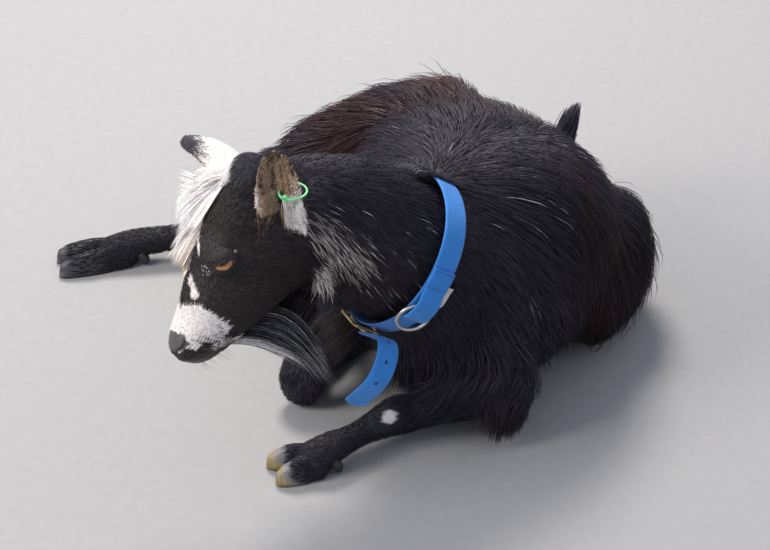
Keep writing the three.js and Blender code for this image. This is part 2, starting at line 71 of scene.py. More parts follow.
def unit(v):
    v = np.asarray(v, float)
    return v / np.maximum(np.linalg.norm(v, axis=-1, keepdims=True), 1e-12)


def put(name, data):
    """A new object in the scene."""
    added = bpy.data.objects.new(name, data)
    bpy.context.scene.collection.objects.link(added)
    return added


def made(name, coords, faces):
    """A new piece with smooth faces."""
    mesh = bpy.data.meshes.new(name)
    mesh.from_pydata(np.asarray(coords).tolist(), [], faces)
    mesh.polygons.foreach_set("use_smooth", [True] * len(mesh.polygons))
    return put(name, mesh)


camera_data = bpy.data.cameras.new("camera")
camera_data.lens = 125
camera_data.sensor_width = 36
camera_data.clip_end = 100
camera = put("camera", camera_data)
CAMERA_AT = (0.8577, -2.1255, 1.5241)
turn, drop = math.radians(20), math.radians(32)
right = Vector((math.cos(turn), math.sin(turn), 0))
ahead = Vector((-math.sin(turn) * math.cos(drop), math.cos(turn) * math.cos(drop), -math.sin(drop)))
facing = Matrix((right, right.cross(ahead), -ahead)).transposed().to_4x4()
camera.matrix_world = Matrix.Translation(CAMERA_AT) @ facing
bpy.context.scene.camera = camera

FLOOR_HALF, FLOOR_GAP = 9, 0.0002
signs = ((-1, -1), (1, -1), (1, 1), (-1, 1))
floor = made("floor", [(x * FLOOR_HALF, y * FLOOR_HALF, 0) for x, y in signs], [(0, 1, 2, 3)])
floor.location.z = -FLOOR_GAP

LAMPS_AIM = (0, 0, 0.1)
for name, place, size, power, tint in (
    ("lamp_high", (-0.7, 1.5, 2.4), 0.9, 97, (1.0, 0.96, 0.91)),
    ("lamp_side", (-1.6, -1.7, 1.7), 1.2, 66, (1.0, 0.97, 0.94)),
):
    lamp_data = bpy.data.lights.new(name, "AREA")
    lamp_data.size = size
    lamp_data.energy = power
    lamp_data.color = tint
    lamp = put(name, lamp_data)
    lamp.location = place
    lamp.rotation_euler = (Vector(LAMPS_AIM) - Vector(place)).to_track_quat("-Z", "Y").to_euler()

sky = bpy.data.worlds.new("sky")
bpy.context.scene.world = sky
bpy.context.scene.view_settings.view_transform = "Standard"
sky.use_nodes = True
surround = sky.node_tree.nodes["Background"].inputs
surround["Color"].default_value = (0.76, 0.82, 1.0, 1)
surround["Strength"].default_value = 0.80


class Wire:
    """One output socket of a material's nodes. Arithmetic on it adds Math nodes."""

    def __init__(self, tree, socket=None):
        self.tree, self.socket = tree, socket

    def node(self, kind, settings=None, sockets=None, out=0):
        added = self.tree.nodes.new(kind)
        for key, value in (settings or {}).items():
            if key == "stops":
                ramp = added.color_ramp
                while len(ramp.elements) < len(value):
                    ramp.elements.new(0.5)
                for stop, (place, tone) in zip(ramp.elements, value):
                    stop.position, stop.color = place, (*tone, 1)
            else:
                setattr(added, key, value)
        for key, value in (sockets or {}).items():
            if isinstance(value, Wire):
                self.tree.links.new(value.socket, added.inputs[key])
            else:
                added.inputs[key].default_value = value
        return Wire(self.tree, added.outputs[out] if len(added.outputs) else None)

    def place(self):
        return self.node("ShaderNodeTexCoord", None, None, "Object")

    def field(self, name, out="Fac"):
        """A value that the mesh carries at its points."""
        return self.node("ShaderNodeAttribute", {"attribute_name": name}, None, out)

    def maths(self, operation, *values):
        return self.node("ShaderNodeMath", {"operation": operation}, dict(enumerate(values)))

    def put_through(self, operation, *more):
        """A Math node's operation on this value."""
        return self.maths(operation, self, *more)

    def __add__(self, other):
        return self.maths("ADD", self, other)

    __radd__ = __add__

    def __mul__(self, other):
        return self.maths("MULTIPLY", self, other)

    __rmul__ = __mul__

    def __sub__(self, other):
        return self.maths("SUBTRACT", self, other)

    def __rsub__(self, other):
        return self.maths("SUBTRACT", other, self)

    def __truediv__(self, other):
        return self.maths("DIVIDE", self, other)

    def __rtruediv__(self, other):
        return self.maths("DIVIDE", other, self)

    def kept(self, low=0.0, high=1.0):
        return self.node("ShaderNodeClamp", None, {"Value": self, "Min": low, "Max": high})

    def ramp(self, *stops):
        return self.node("ShaderNodeValToRGB", {"stops": stops}, {"Fac": self})

    def mix(self, low, high):
        """Colour low where this is 0 and colour high where it is 1."""
        low, high = (c if isinstance(c, Wire) else (*c, 1) for c in (low, high))
        return self.node("ShaderNodeMix", {"data_type": "RGBA"}, {0: self, 6: low, 7: high}, 2)

    def times(self, colour):
        """This colour multiplied by another."""
        return self.node("ShaderNodeMix", {"data_type": "RGBA", "blend_type": "MULTIPLY"},
                         {0: 1.0, 6: self, 7: colour if isinstance(colour, Wire) else (*colour, 1)}, 2)

    def noise(self, scale, detail=2.0, roughness=0.5):
        sockets = {"Vector": self, "Scale": scale, "Detail": detail, "Roughness": roughness}
        return self.node("ShaderNodeTexNoise", None, sockets, "Fac")

    def bump(self, strength, distance):
        sockets = {"Height": self, "Strength": strength, "Distance": distance}
        return self.node("ShaderNodeBump", None, sockets, "Normal")


def finish_of(name):
    """A new empty material, and a wire that adds nodes to it."""
    material = bpy.data.materials.new(name)
    material.use_nodes = True
    material.node_tree.nodes.clear()
    return material, Wire(material.node_tree)


def close(wire, sockets):
    """The material's shader and output."""
    shader = wire.node("ShaderNodeBsdfPrincipled", None, sockets)
    wire.node("ShaderNodeOutputMaterial", None, {"Surface": shader})


paint, w = finish_of("floor_paint")
place = w.node("ShaderNodeNewGeometry", None, None, "Position")
grain = place.noise(90.0, 4.0)
close(w, {"Base Color": grain.mix((0.285, 0.279, 0.271), (0.335, 0.328, 0.319)), "Roughness": 0.9})
floor.data.materials.append(paint)

# ---------------------------------------------------------------- hide
# The goat's hide under its coat, in one closed piece with the ears. Each part of the body is a
# loft or a ball in millimetres in the goat's own frame; they are fused, smoothed, and the head
# then gets its lids, nostrils, mouth and folds.

HEAD_AT = np.array((-164.0, -301.0, 182.0))  # on the head's axis, level with the lips
LEFT = unit((0.687, -0.635, 0.354))
DORSAL = unit(np.cross(LEFT, (0.402, 0.737, 0.543)))
HEAD = np.array((LEFT, np.cross(DORSAL, LEFT), DORSAL))
EYE_AT = np.array((30.0, 92.0, 36.0))
EYE_RADIUS = 12.5


def from_head(p):
    """From the head's frame (left, back, up) to the goat's."""
    return HEAD_AT + np.asarray(p, float) @ HEAD


def in_head(p):
    return (np.asarray(p, float) - HEAD_AT) @ HEAD.T


low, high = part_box("eye_left")
SHIFT = np.array((low + high) / 2) / MM - from_head(EYE_AT)


def to_row(p):
    """From the goat's own frame, in millimetres, to the shared one."""
    return (np.asarray(p, float) + SHIFT) * MM


def from_row(p):
    return p / MM - SHIFT


def far_from(p, spot):
    return np.linalg.norm(p - spot, axis=1)


def within(x, low, high):
    return (x > low) & (x < high)


def full_turn(n):
    """Angles of n even steps round a circle."""
    return np.linspace(0, 2 * np.pi, n, endpoint=False)


def through(rows, t):
    """Rows of numbers, evenly spaced, read smoothly at each t from 0 to 1."""
    rows = np.asarray(rows, float)
    place = np.clip(t, 0, 1) * (len(rows) - 1)
    i = np.minimum(place.astype(int), len(rows) - 2)
    f = (place - i)[:, None]
    a, b, c, d = (rows[np.clip(i + k, 0, len(rows) - 1)] for k in (-1, 0, 1, 2))
    return b + 0.5 * f * (c - a + f * (2 * a - 5 * b + 4 * c - d + f * (3 * (b - c) + d - a)))


def tube(n, around, end):
    """Faces of n loops of points: end is "tips" for a point at each end, "ring" or "open"."""
    faces = []
    last = (n - 1) * around
    sides = [(k, (k + 1) % around) for k in range(around)]
    for r in range(n - 1):
        at = r * around
        faces += [(at + a, at + b, at + b + around, at + a + around) for a, b in sides]
    if end == "ring":
        faces += [(last + a, last + b, b, a) for a, b in sides]
    if end == "tips":
        for a, b in sides:
            faces += [(n * around, b, a), (n * around + 1, last + a, last + b)]
    return faces


def loft(stations, domes, depth, around=28, rings=24):
    """Loops through stations (place, (side, top, under), up, square), domed at both ends."""
    rows = [(*s[0], *(s[2] if len(s) > 2 else (0, 0, 1)), *s[1], s[3] if len(s) > 3 else 1)
            for s in stations]
    arc = np.radians((80, 62, 44, 26, 12))
    t = np.concatenate((np.zeros(5), np.linspace(0, 1, rings + 1), np.ones(5)))
    shrink = np.concatenate((np.cos(arc), np.ones(rings + 1), np.cos(arc[::-1])))
    push = np.concatenate((-(domes[0] - depth) * np.sin(arc), np.zeros(rings + 1),
                           (domes[1] - depth) * np.sin(arc[::-1])))
    r = through(rows, t)
    ahead = unit((through(rows, np.minimum(t + 1e-3, 1)) - through(rows, np.maximum(t - 1e-3, 0)))[:, :3])
    across = unit(np.cross(r[:, 3:6], ahead))
    tall = np.cross(ahead, across)
    c, s = np.cos(full_turn(around)), np.sin(full_turn(around))
    wide = (r[:, 6:7] - depth) * np.sign(c) * np.abs(c) ** r[:, 9:] * shrink[:, None]
    high = (np.where(s > 0, r[:, 7:8], r[:, 8:9]) - depth) * np.sign(s) * np.abs(s) ** r[:, 9:]
    high = high * shrink[:, None]
    middle = r[:, :3] + ahead * push[:, None]
    points = middle[:, None] + wide[..., None] * across[:, None] + high[..., None] * tall[:, None]
    tips = (r[0, :3] - ahead[0] * (domes[0] - depth), r[-1, :3] + ahead[-1] * (domes[1] - depth))
    coords = np.concatenate((points.reshape(-1, 3), tips))
    along = np.concatenate((np.repeat(ahead, around, 0), ahead[[0, -1]]))
    return coords, tube(len(t), around, "tips"), along


def ball(at, radii, depth, along=(0, 1, 0)):
    """A ball of three radii, drawn in by the coat's depth."""
    rings, around = 15, 28
    lat, lon = np.radians(np.linspace(-80, 80, rings))[:, None], full_turn(around)
    size = np.asarray(radii, float) - depth
    out = np.stack((np.cos(lat) * np.cos(lon), np.cos(lat) * np.sin(lon), np.sin(lat) + 0 * lon), -1)
    tip = size * (0, 0, 1)
    coords = np.concatenate(((out * size + at).reshape(-1, 3), [at - tip, at + tip]))
    return coords, tube(rings, around, "tips"), np.tile(unit(along), (len(coords), 1))


def placed_in_head(shape):
    coords, faces, along = shape
    return from_head(coords), faces, along @ HEAD


def skull_row(back, side, top, under, square):
    return (0, back, 0), (side, top, under), (0, 0, 1), square


legs = {  # where each leg's fetlock, coronet and toe lie
    "fore_left": ((-62, -175, 24), (-80, -190, 18), (-111, -206, 12)),
    "fore_right": ((-128, -10, 22), (-127, 12, 22), (-122, 50, 18)),
    "hind_left": ((-108, 106, 21), (-132, 102, 18), (-172, 94, 14)),
    "hind_right": ((-392, 110, 24), (-420, 93, 20), (-466, 65, 14)),
}
COLLAR_AT = np.array((-18.4, -92.4, 207.2))
KNEE_PATCH_AT, KNEE_PATCH_RADIUS = (-18, -129, 41), 8.2
# part: its lofts and balls, with the coat's depth taken off
shapes = {
    "trunk": [
        loft([((-4, -74, 134), (68, 66, 126)), ((3, -40, 138), (96, 134, 140)),
              ((8, 20, 136), (126, 134, 138), (0.1, 0, 1), 0.94),
              ((0, 90, 130), (146, 124, 134), (0.25, 0, 1), 0.9),
              ((-24, 150, 124), (140, 116, 132), (0.35, 0, 1), 0.9),
              ((-42, 205, 112), (110, 98, 116), (0.4, 0, 1), 0.94)], (34, 50), 15, 48, 36),
        ball((-16, 234, 88), (92, 58, 86), 15),
        ball((58, -44, 140), (48, 56, 96), 13),
        ball((-58, -18, 124), (44, 58, 84), 13),
        ball((-98, 110, 108), (70, 84, 92), 15, (-0.8, -0.6, 0)),
        ball((72, -44, 74), (38, 34, 40), 15),
    ],
    "neck": [loft([((16, -52, 168), (68, 84, 82), (0.4, 0.4, 0.83)),
                   (COLLAR_AT, (65.5, 73.5, 73.5), (0.4, 0.4, 0.83)),
                   ((-60, -136, 246), (62, 76, 74), (0.4, 0.5, 0.77)),
                   ((-100, -180, 278), (52, 62, 66), (0.2, 0.6, 0.77))], (60, 20), 9, 40)],
    "fore_left_upper": [loft([((88, -62, 62), (30, 34, 34)), ((52, -78, 52), (26, 32, 30)),
                              ((14, -94, 38), (22, 24, 24)), ((-12, -104, 31), (22, 22, 24))], (22, 4), 6)],
    "fore_left_lower": [loft([((-18, -108, 30), (22, 22, 24)), ((-36, -134, 27), (16, 16, 18)),
                              ((-50, -156, 25), (15, 15, 17)), ((-62, -175, 24), (19, 18, 19)),
                              ((-80, -190, 18), (18, 15, 17))], (12, 5), 2.5)],
    "fore_right_upper": [loft([((-74, 8, 112), (40, 32, 32), (-1, 0, 0.4)),
                               ((-82, 12, 88), (36, 31, 31), (-1, 0, 0.4)),
                               ((-102, -30, 66), (28, 26, 26), (-1, 0, 0.4)),
                               ((-120, -70, 44), (28, 28, 25), (-1, 0, 0.4)),
                               ((-126, -88, 30), (29, 29, 25), (-1, 0, 0.4))], (30, 10), 5)],
    "fore_right_lower": [loft([((-126, -94, 24), (26, 22, 24)), ((-129, -54, 19), (15, 14, 19)),
                               ((-128, -10, 22), (18, 16, 20)), ((-127, 12, 22), (17, 15, 18))],
                              (8, 5), 3)],
    "hind_right_upper": [
        loft([((-60, 208, 160), (66, 82, 84)), ((-128, 182, 138), (66, 88, 90)),
              ((-196, 150, 120), (56, 74, 74))], (40, 46), 13),
        loft([((-196, 142, 112), (52, 60, 62)), ((-252, 144, 84), (38, 48, 50)),
              ((-305, 152, 42), (22, 21, 24))], (30, 12), 6),
    ],
    "hind_right_lower": [loft([((-305, 152, 42), (21, 19, 23)), ((-345, 134, 30), (16, 15, 18)),
                               ((-392, 110, 24), (19, 17, 19)), ((-420, 93, 20), (18, 15, 17))],
                              (10, 5), 3)],
    "hind_left_upper": [loft([((80, 210, 90), (70, 60, 80)), ((112, 160, 74), (56, 62, 70)),
                              ((112, 105, 60), (44, 52, 56))], (36, 40), 13)],
    "hind_left_lower": [loft([((-34, 118, 28), (21, 19, 22)), ((-72, 112, 23), (16, 15, 17)),
                              ((-108, 106, 21), (19, 17, 18)), ((-132, 102, 18), (18, 15, 16))],
                             (10, 5), 3)],
    "tail": [loft([((20, 272, 106), (12, 11, 11), (0, 1, 0)), ((24, 296, 128), (9, 8, 8), (0, 1, 0)),
                   ((27, 307, 144), (6, 5, 5), (0, 1, 0))], (14, 6), 1, 12, 12)],
    "head": [placed_in_head(s) for s in (
        loft([skull_row(*r) for r in (
            (8, 19, 13, 17, 0.86), (15, 24, 18, 25, 0.84), (29, 26, 24, 31, 0.84), (45, 28, 32, 33, 0.84),
            (62, 32, 41, 36, 0.86), (80, 37, 52, 39, 0.9), (98, 41, 62, 41, 0.92), (116, 43, 69, 42, 0.92),
            (134, 43, 74, 42, 0.94), (152, 41, 77, 41, 0.96), (170, 37, 76, 38, 1), (186, 30, 62, 32, 1),
        )], (7, 10), 1.6, 40, 44),
        ball((23, 99, 44), (16, 23, 15), 1.6), ball((-23, 99, 44), (16, 23, 15), 1.6),
        ball((29, 130, -8), (17, 36, 32), 2.5), ball((-29, 130, -8), (17, 36, 32), 2.5),
        ball((0, 164, 62), (36, 30, 22), 4), ball((0, 19, -15), (17, 12, 11), 1),
    )],
}
for leg, (fetlock, coronet, toe) in legs.items():
    coronet, toe = np.array(coronet) * (1, 1, 0), np.array(toe) * (1, 1, 0)
    aside = np.cross((0, 0, 1), unit(toe - coronet))
    for s in (1, -1):
        rows = []
        for share, half, tall in ((-0.4, 8.5, 27), (0.0, 9.4, 28.5), (0.3, 9.3, 27.5), (0.6, 8.4, 24)):
            at = coronet + share * (toe - coronet) + aside * s * (10 + 5 * share)
            rows.append((at, (half, tall, 8), (0, 0, 1), 0.95))
        shapes[leg + "_lower"].append(loft(rows, (6, 3), 1))
for side, s in (("left", 1), ("right", -1)):
    top = from_head((s * 37, 139, -50))
    shapes["wattle_" + side] = [loft([
        (top + (-s * 6, 0, 12), (7, 7, 7), (0, 1, 0)), (top, (7.5, 7.5, 7.5), (0, 1, 0)),
        (top - (0, 0, 13), (8.6, 8.6, 8.6), (0, 1, 0)), (top - (0, 0, 25), (8.4, 8.4, 8.4), (0, 1, 0)),
    ], (2, 9), 0, 12, 10)]

ears = {  # root, the way it points, and the way it opens
    "ear_left": (from_head((35.5, 155, 22)), unit(np.array((0.397, 0.444, 0.803)) @ HEAD),
                 np.array((0.822, -0.563, -0.086)) @ HEAD),
    "ear_right": (from_head((-33, 176, 60)), unit(np.array((-0.88, -0.05, 0.47)) @ HEAD),
                  np.array((-0.3, -0.6, -0.75)) @ HEAD),
}
EAR_LENGTH, EAR_HALF_WIDTH = 74, 21


def ear_axes(ear):
    at, along, opening = ears[ear]
    x = unit(np.cross(along, opening))
    return at, along, x, np.cross(x, along)


def ear_point(ear, s, t, layer):
    """A point of the ear's leaf: s from root to tip, t from rim to rim, layer off its middle."""
    at, along, x, z = ear_axes(ear)
    half = EAR_HALF_WIDTH * (1 - 0.26 * s) * np.sqrt(np.maximum(1 - 0.96 * np.abs(s) ** 6, 0.03))
    curl = 1.25 - 0.6 * s
    radius = half / np.sin(curl) + layer
    dip = half / np.sin(curl) - radius * np.cos(t * curl) - 7 * np.sin(np.pi * s)
    return (at + (s * EAR_LENGTH)[..., None] * along + (radius * np.sin(t * curl))[..., None] * x
            + dip[..., None] * z)


def ear_shell(ear):
    rows, columns = 34, 26
    s = np.sin(np.linspace(-0.12, np.pi / 2, rows))
    s, t = np.meshgrid(s, np.linspace(-1, 1, columns), indexing="ij")
    wall = 1.5 * (1 - 0.5 * np.abs(t) ** 3) * (1 - 0.45 * s)
    ridges = sum(np.exp(-(((t - at) / 0.09) ** 2)) for at in (-0.42, 0.02, 0.45))
    ridges = ridges * 1.3 * np.clip(s * 5 - 0.6, 0, 1) * np.clip((0.95 - s) * 4, 0, 1)
    inner = ear_point(ear, s, t, -wall - ridges).reshape(-1, 3)
    outer = ear_point(ear, s, t, wall).reshape(-1, 3)
    n = rows * columns
    faces = []
    for i in range(rows - 1):
        for j in range(columns - 1):
            a = i * columns + j
            faces.append((a, a + 1, a + columns + 1, a + columns))
            faces.append((n + a, n + a + columns, n + a + columns + 1, n + a + 1))
    rim = [i * columns for i in range(rows - 1, 0, -1)] + list(range(columns))
    rim += [i * columns + columns - 1 for i in range(1, rows)]
    rim += [(rows - 1) * columns + j for j in range(columns - 2, 0, -1)]
    for a, b in zip(rim, rim[1:] + rim[:1]):
        faces.append((b, a, n + a, n + b))
    along = np.tile(ears[ear][1], (2 * n, 1))
    return np.concatenate((inner, outer)), faces, along


def soften(co, edges, rounds, share=0.5):
    """Moves each point towards the middle of its neighbours, rounds times."""
    a, b = edges.T
    n = len(co)
    count = np.maximum(np.bincount(a, None, n) + np.bincount(b, None, n), 1)[:, None]
    share = np.asarray(share, float).reshape(-1, 1)
    for _ in range(rounds):
        total = np.stack([np.bincount(a, co[b, k], n) + np.bincount(b, co[a, k], n)
                          for k in range(co.shape[1])], 1)
        co = co + (total / count - co) * share
    return co


def read(items, key, width, kind=float):
    """One value of every item of a mesh, in rows."""
    values = np.empty(len(items) * width, kind)
    items.foreach_get(key, values)
    return values.reshape(-1, width)


def coords_of(mesh):
    return read(mesh.vertices, "co", 3)


def edges_of(mesh):
    return read(mesh.edges, "vertices", 2, int)


def finder_of(points):
    """A quick search for the nearest of some points."""
    finder = KDTree(len(points))
    for i, p in enumerate(points.tolist()):
        finder.insert(p, i)
    finder.balance()
    return finder


def shown(piece):
    """The piece's mesh with its modifiers applied."""
    dg = bpy.context.evaluated_depsgraph_get()
    return bpy.data.meshes.new_from_object(piece.evaluated_get(dg))


coords, faces, along, owner = [], [], [], []
names = list(shapes) + list(ears)
count = 0
for name in shapes:
    for shape in shapes[name]:
        coords.append(shape[0])
        faces += [tuple(i + count for i in face) for face in shape[1]]
        along.append(shape[2])
        owner += [names.index(name)] * len(shape[0])
        count += len(shape[0])
FUSE_VOXEL = 4.4 * MM
block = made("block", to_row(np.concatenate(coords)), faces)
fuse = block.modifiers.new("fuse", "REMESH")
fuse.mode, fuse.voxel_size = "VOXEL", FUSE_VOXEL
body_mesh = shown(block)
co = soften(coords_of(body_mesh), edges_of(body_mesh), 10)
body_mesh.vertices.foreach_set("co", co.ravel())
block.modifiers.clear()
block.data = body_mesh
for ear in ears:
    shell = ear_shell(ear)
    coords.append(shell[0])
    along.append(shell[2])
    owner += [names.index(ear)] * len(shell[0])
    leaf = made("leaf", to_row(shell[0]), shell[1])
    union = block.modifiers.new("union", "BOOLEAN")
    union.object, union.operation, union.solver = leaf, "UNION", "MANIFOLD"
hide_mesh = shown(block)
for spare in [o for o in bpy.data.objects if o.name.startswith(("block", "leaf"))]:
    bpy.data.objects.remove(spare)

samples = np.concatenate(coords)
sample_along = np.concatenate(along)
owner = np.array(owner)
finder = finder_of(samples)


def from_eyes(h):
    """How far points in the head's frame are from the nearer eye."""
    return np.minimum(*(np.linalg.norm(h - EYE_AT * (s, 1, 1), axis=1) for s in (1, -1)))


def from_ears(p):
    """How far points are from the root of the nearer ear."""
    return np.minimum(*(np.linalg.norm(p - at - 20 * way, axis=1) for at, way, _ in ears.values()))


# The face, then the eyes, nose and mouth, get finer faces
for reach in (0, 1, 2):
    mesh = bmesh.new()
    mesh.from_mesh(hide_mesh)
    mesh.faces.ensure_lookup_table()
    middles = from_row(np.array([f.calc_center_median() for f in mesh.faces]))
    h = in_head(middles)
    from_eye = from_eyes(h)
    on_head = (h[:, 1] < 165) & (np.abs(h[:, 0]) < 52) & (h[:, 2] > -48) & (from_ears(middles) > 34)
    if reach == 1:
        on_head &= (h[:, 1] < 58) | (from_eye < 26)
    if reach == 2:
        on_head &= (from_eye < 19) | ((h[:, 1] < 22) & (h[:, 2] > -8))
    picked = {e for i in np.nonzero(on_head)[0] for e in mesh.faces[i].edges}
    bmesh.ops.subdivide_edges(mesh, edges=list(picked), cuts=1, use_grid_fill=True)
    mesh.to_mesh(hide_mesh)
    mesh.free()
    co = coords_of(hide_mesh)
    h = in_head(from_row(co))
    near = (h[:, 1] < 165) & (np.abs(h[:, 0]) < 60) & (h[:, 2] > -60) & (from_ears(from_row(co)) > 34)
    co = soften(co, edges_of(hide_mesh), 2, np.where(near, 0.5, 0.0))
    hide_mesh.vertices.foreach_set("co", co.ravel())

co = from_row(coords_of(hide_mesh))
h = in_head(co)


def inward(h):
    """Towards the axis of the head."""
    axis = np.stack((0 * h[:, 0], h[:, 1], 4 + 0.18 * h[:, 1]), 1)
    return unit(axis - h)


def from_line(h, line):
    """How far each point is from a line of straight lengths."""
    line = np.asarray(line, float)
    best = np.full(len(h), 1e9)
    for a, b in zip(line[:-1], line[1:]):
        t = np.clip((h - a) @ (b - a) / ((b - a) @ (b - a)), 0, 1)
        best = np.minimum(best, np.linalg.norm(h - a - t[:, None] * (b - a), axis=1))
    return best


def step(x, low, high):
    """Rises smoothly from 0 at low to 1 at high."""
    t = np.clip((x - low) / (high - low), 0, 1)
    return t * t * (3 - 2 * t)


def eye_ways(s):
    """The left (1) or right (-1) eye's signs, and the ways out of it, along its slit and up."""
    flip = np.array((s, 1, 1))
    ways = ((0.88, -0.446, 0.149), (0.462, 0.824, -0.329), (0.021, 0.359, 0.928))
    return (flip, *(unit(v) * flip for v in ways))


def grooved(h, way, line, deep, reach, lip=(0, 0, 1)):
    """The head with a groove pressed in along a line, and a raised lip (high, away, wide) beside it."""
    far = from_line(h, line)
    high, away, wide = lip
    depth = deep * np.exp(-((far / reach) ** 2)) - high * np.exp(-(((far - away) / wide) ** 2))
    return h + way * depth[:, None]


lid = np.zeros(len(co))  # 1 on the lids' bare rims, and under the eyeballs
for s in (1, -1):
    flip, out, slit, up = eye_ways(s)
    v = h - EYE_AT * flip
    r = np.linalg.norm(v, axis=1)
    d = unit(v)
    a = np.degrees(np.arctan2(d @ slit, d @ out))
    b = np.degrees(np.arcsin(np.clip(d @ up, -1, 1)))
    bow = 1 - ((a - 8) / 46) ** 2
    sunk = np.minimum(3.5 + 2 * bow - b, b - (3 - 20 * bow))  # degrees inside the opening
    sunk = np.where(np.abs(a - 8) > 46, -np.hypot(b - 3, np.abs(a - 8) - 46), sunk)
    rim = EYE_RADIUS + 1.3 + 0.5 * step(b, -5, 8)
    near = step(-sunk, 40, 6)
    over = 0.5 * (r + rim + np.sqrt((r - rim) ** 2 + 9)) - 0.4
    folds = 0.5 * np.cos((-sunk - 9) / 9 * 2 * np.pi) * step(-sunk, 4, 9) * step(-sunk, 40, 24)
    lids = over * (1 - near) + rim * near + folds
    target = np.where(sunk > 0, EYE_RADIUS - 2.5 * step(sunk, 0, 3), lids)
    soft = step(-sunk, -0.5, 2.2)
    target = np.where(sunk > -2.2, (EYE_RADIUS + 0.1) * (1 - soft) + lids * soft, target)
    target = np.where(sunk > 0.5, EYE_RADIUS - 2.5, target)
    hold = (r < 32) & (d @ out > -0.2)
    fade = step(r, 32, 19) * step(d @ out, -0.2, 0.35)
    h = np.where(hold[:, None], h + d * ((target - r) * fade)[:, None], h)
    lid = np.maximum(lid, np.where(hold, step(-sunk, 6.5, 4.0), 0))
    # nostril: a comma-shaped slit at the edge of the bare nose
    way = inward(h)
    nostril = [(10 * s, 3, 6.5), (16 * s, 7.5, 7), (20.5 * s, 14, 9), (20 * s, 20, 13.5)]
    h = grooved(h, way, nostril, 4.2, 2.1, (0.9, 4.2, 1.8))
    # mouth: the line between the lips, from the front to the corner
    mouth = [(0, 1, -8), (13 * s, 5, -8.5), (21 * s, 14, -12), (24 * s, 28, -17), (25 * s, 42, -20)]
    h = grooved(h, way, mouth, 2.2, 1.5, (0.7, 3.4, 1.7))
    # tear line in front of the eye, and a small hollow under the forelock
    h = grooved(h, way, [(31 * s, 80, 36), (27 * s, 68, 32)], 1.3, 2.6)
    far = far_from(h, (9 * s - 4, 130, 72))
    h = h + way * (2.2 * np.exp(-((far / 4.5) ** 2)))[:, None]
h = grooved(h, inward(h), [(0, 1, 9), (0, 0, -7)], 1.2, 1.3)
moved = (np.abs(h - in_head(co)).sum(1) > 1e-9) & (h[:, 1] < 175)
co = np.where(moved[:, None], from_head(h), co)
co[:, 2] = np.maximum(co[:, 2], 1.0)
hide_mesh.vertices.foreach_set("co", to_row(co).ravel())
hide_mesh.update()
found = np.array([finder.find(q)[1] for q in co.tolist()])
part, part_along = owner[found], sample_along[found]
hide = put("hide", hide_mesh)

# The hide is unwrapped over its own shape, and takes the coat's markings: where a hair is white,
# so is the hide under it. The nose, lips, lid rims and the worn patch on the knee are bare.

bpy.context.view_layer.objects.active = hide
hide.select_set(True)
bpy.ops.object.mode_set(mode="EDIT")
bpy.ops.mesh.select_all(action="SELECT")
bpy.ops.uv.smart_project(angle_limit=math.radians(66), island_margin=0.001)
bpy.ops.object.mode_set(mode="OBJECT")
hide_mesh = hide.data
hide_mesh.uv_layers[0].name = "OFBake"

PART = {name: i for i, name in enumerate(names)}
# The black hair's colour is bluer and lighter than plain black: a painted bluish sheen of sky reflection is
# mixed into it.
SHEEN_BLUE_BLACK = np.array((0.0265, 0.0235, 0.0385))
FACE_BROWN = np.array((0.020, 0.0130, 0.0115))
RED_BROWN = np.array((0.048, 0.017, 0.0135))
WHITE = np.array((0.90, 0.875, 0.84))
CREAM = np.array((0.50, 0.42, 0.32))


def in_parts(part, *names):
    return np.isin(part, [PART[n] for n in names])


def ripple(p, size, seed):
    """Smooth irregular waves of about that size, from -1 to 1."""
    rng = np.random.default_rng(seed)
    total = np.zeros(len(p))
    for _ in range(6):
        way = unit(rng.normal(size=3))
        total += np.sin(p @ way * (2 * np.pi / size) * rng.uniform(0.6, 1.5) + rng.uniform(0, 7))
    return np.clip(total / 3, -1, 1)


def near_line(p, line, reach):
    """1 on the line, falling smoothly to 0 past its reach."""
    return np.exp(-((from_line(p, line) / reach) ** 2))


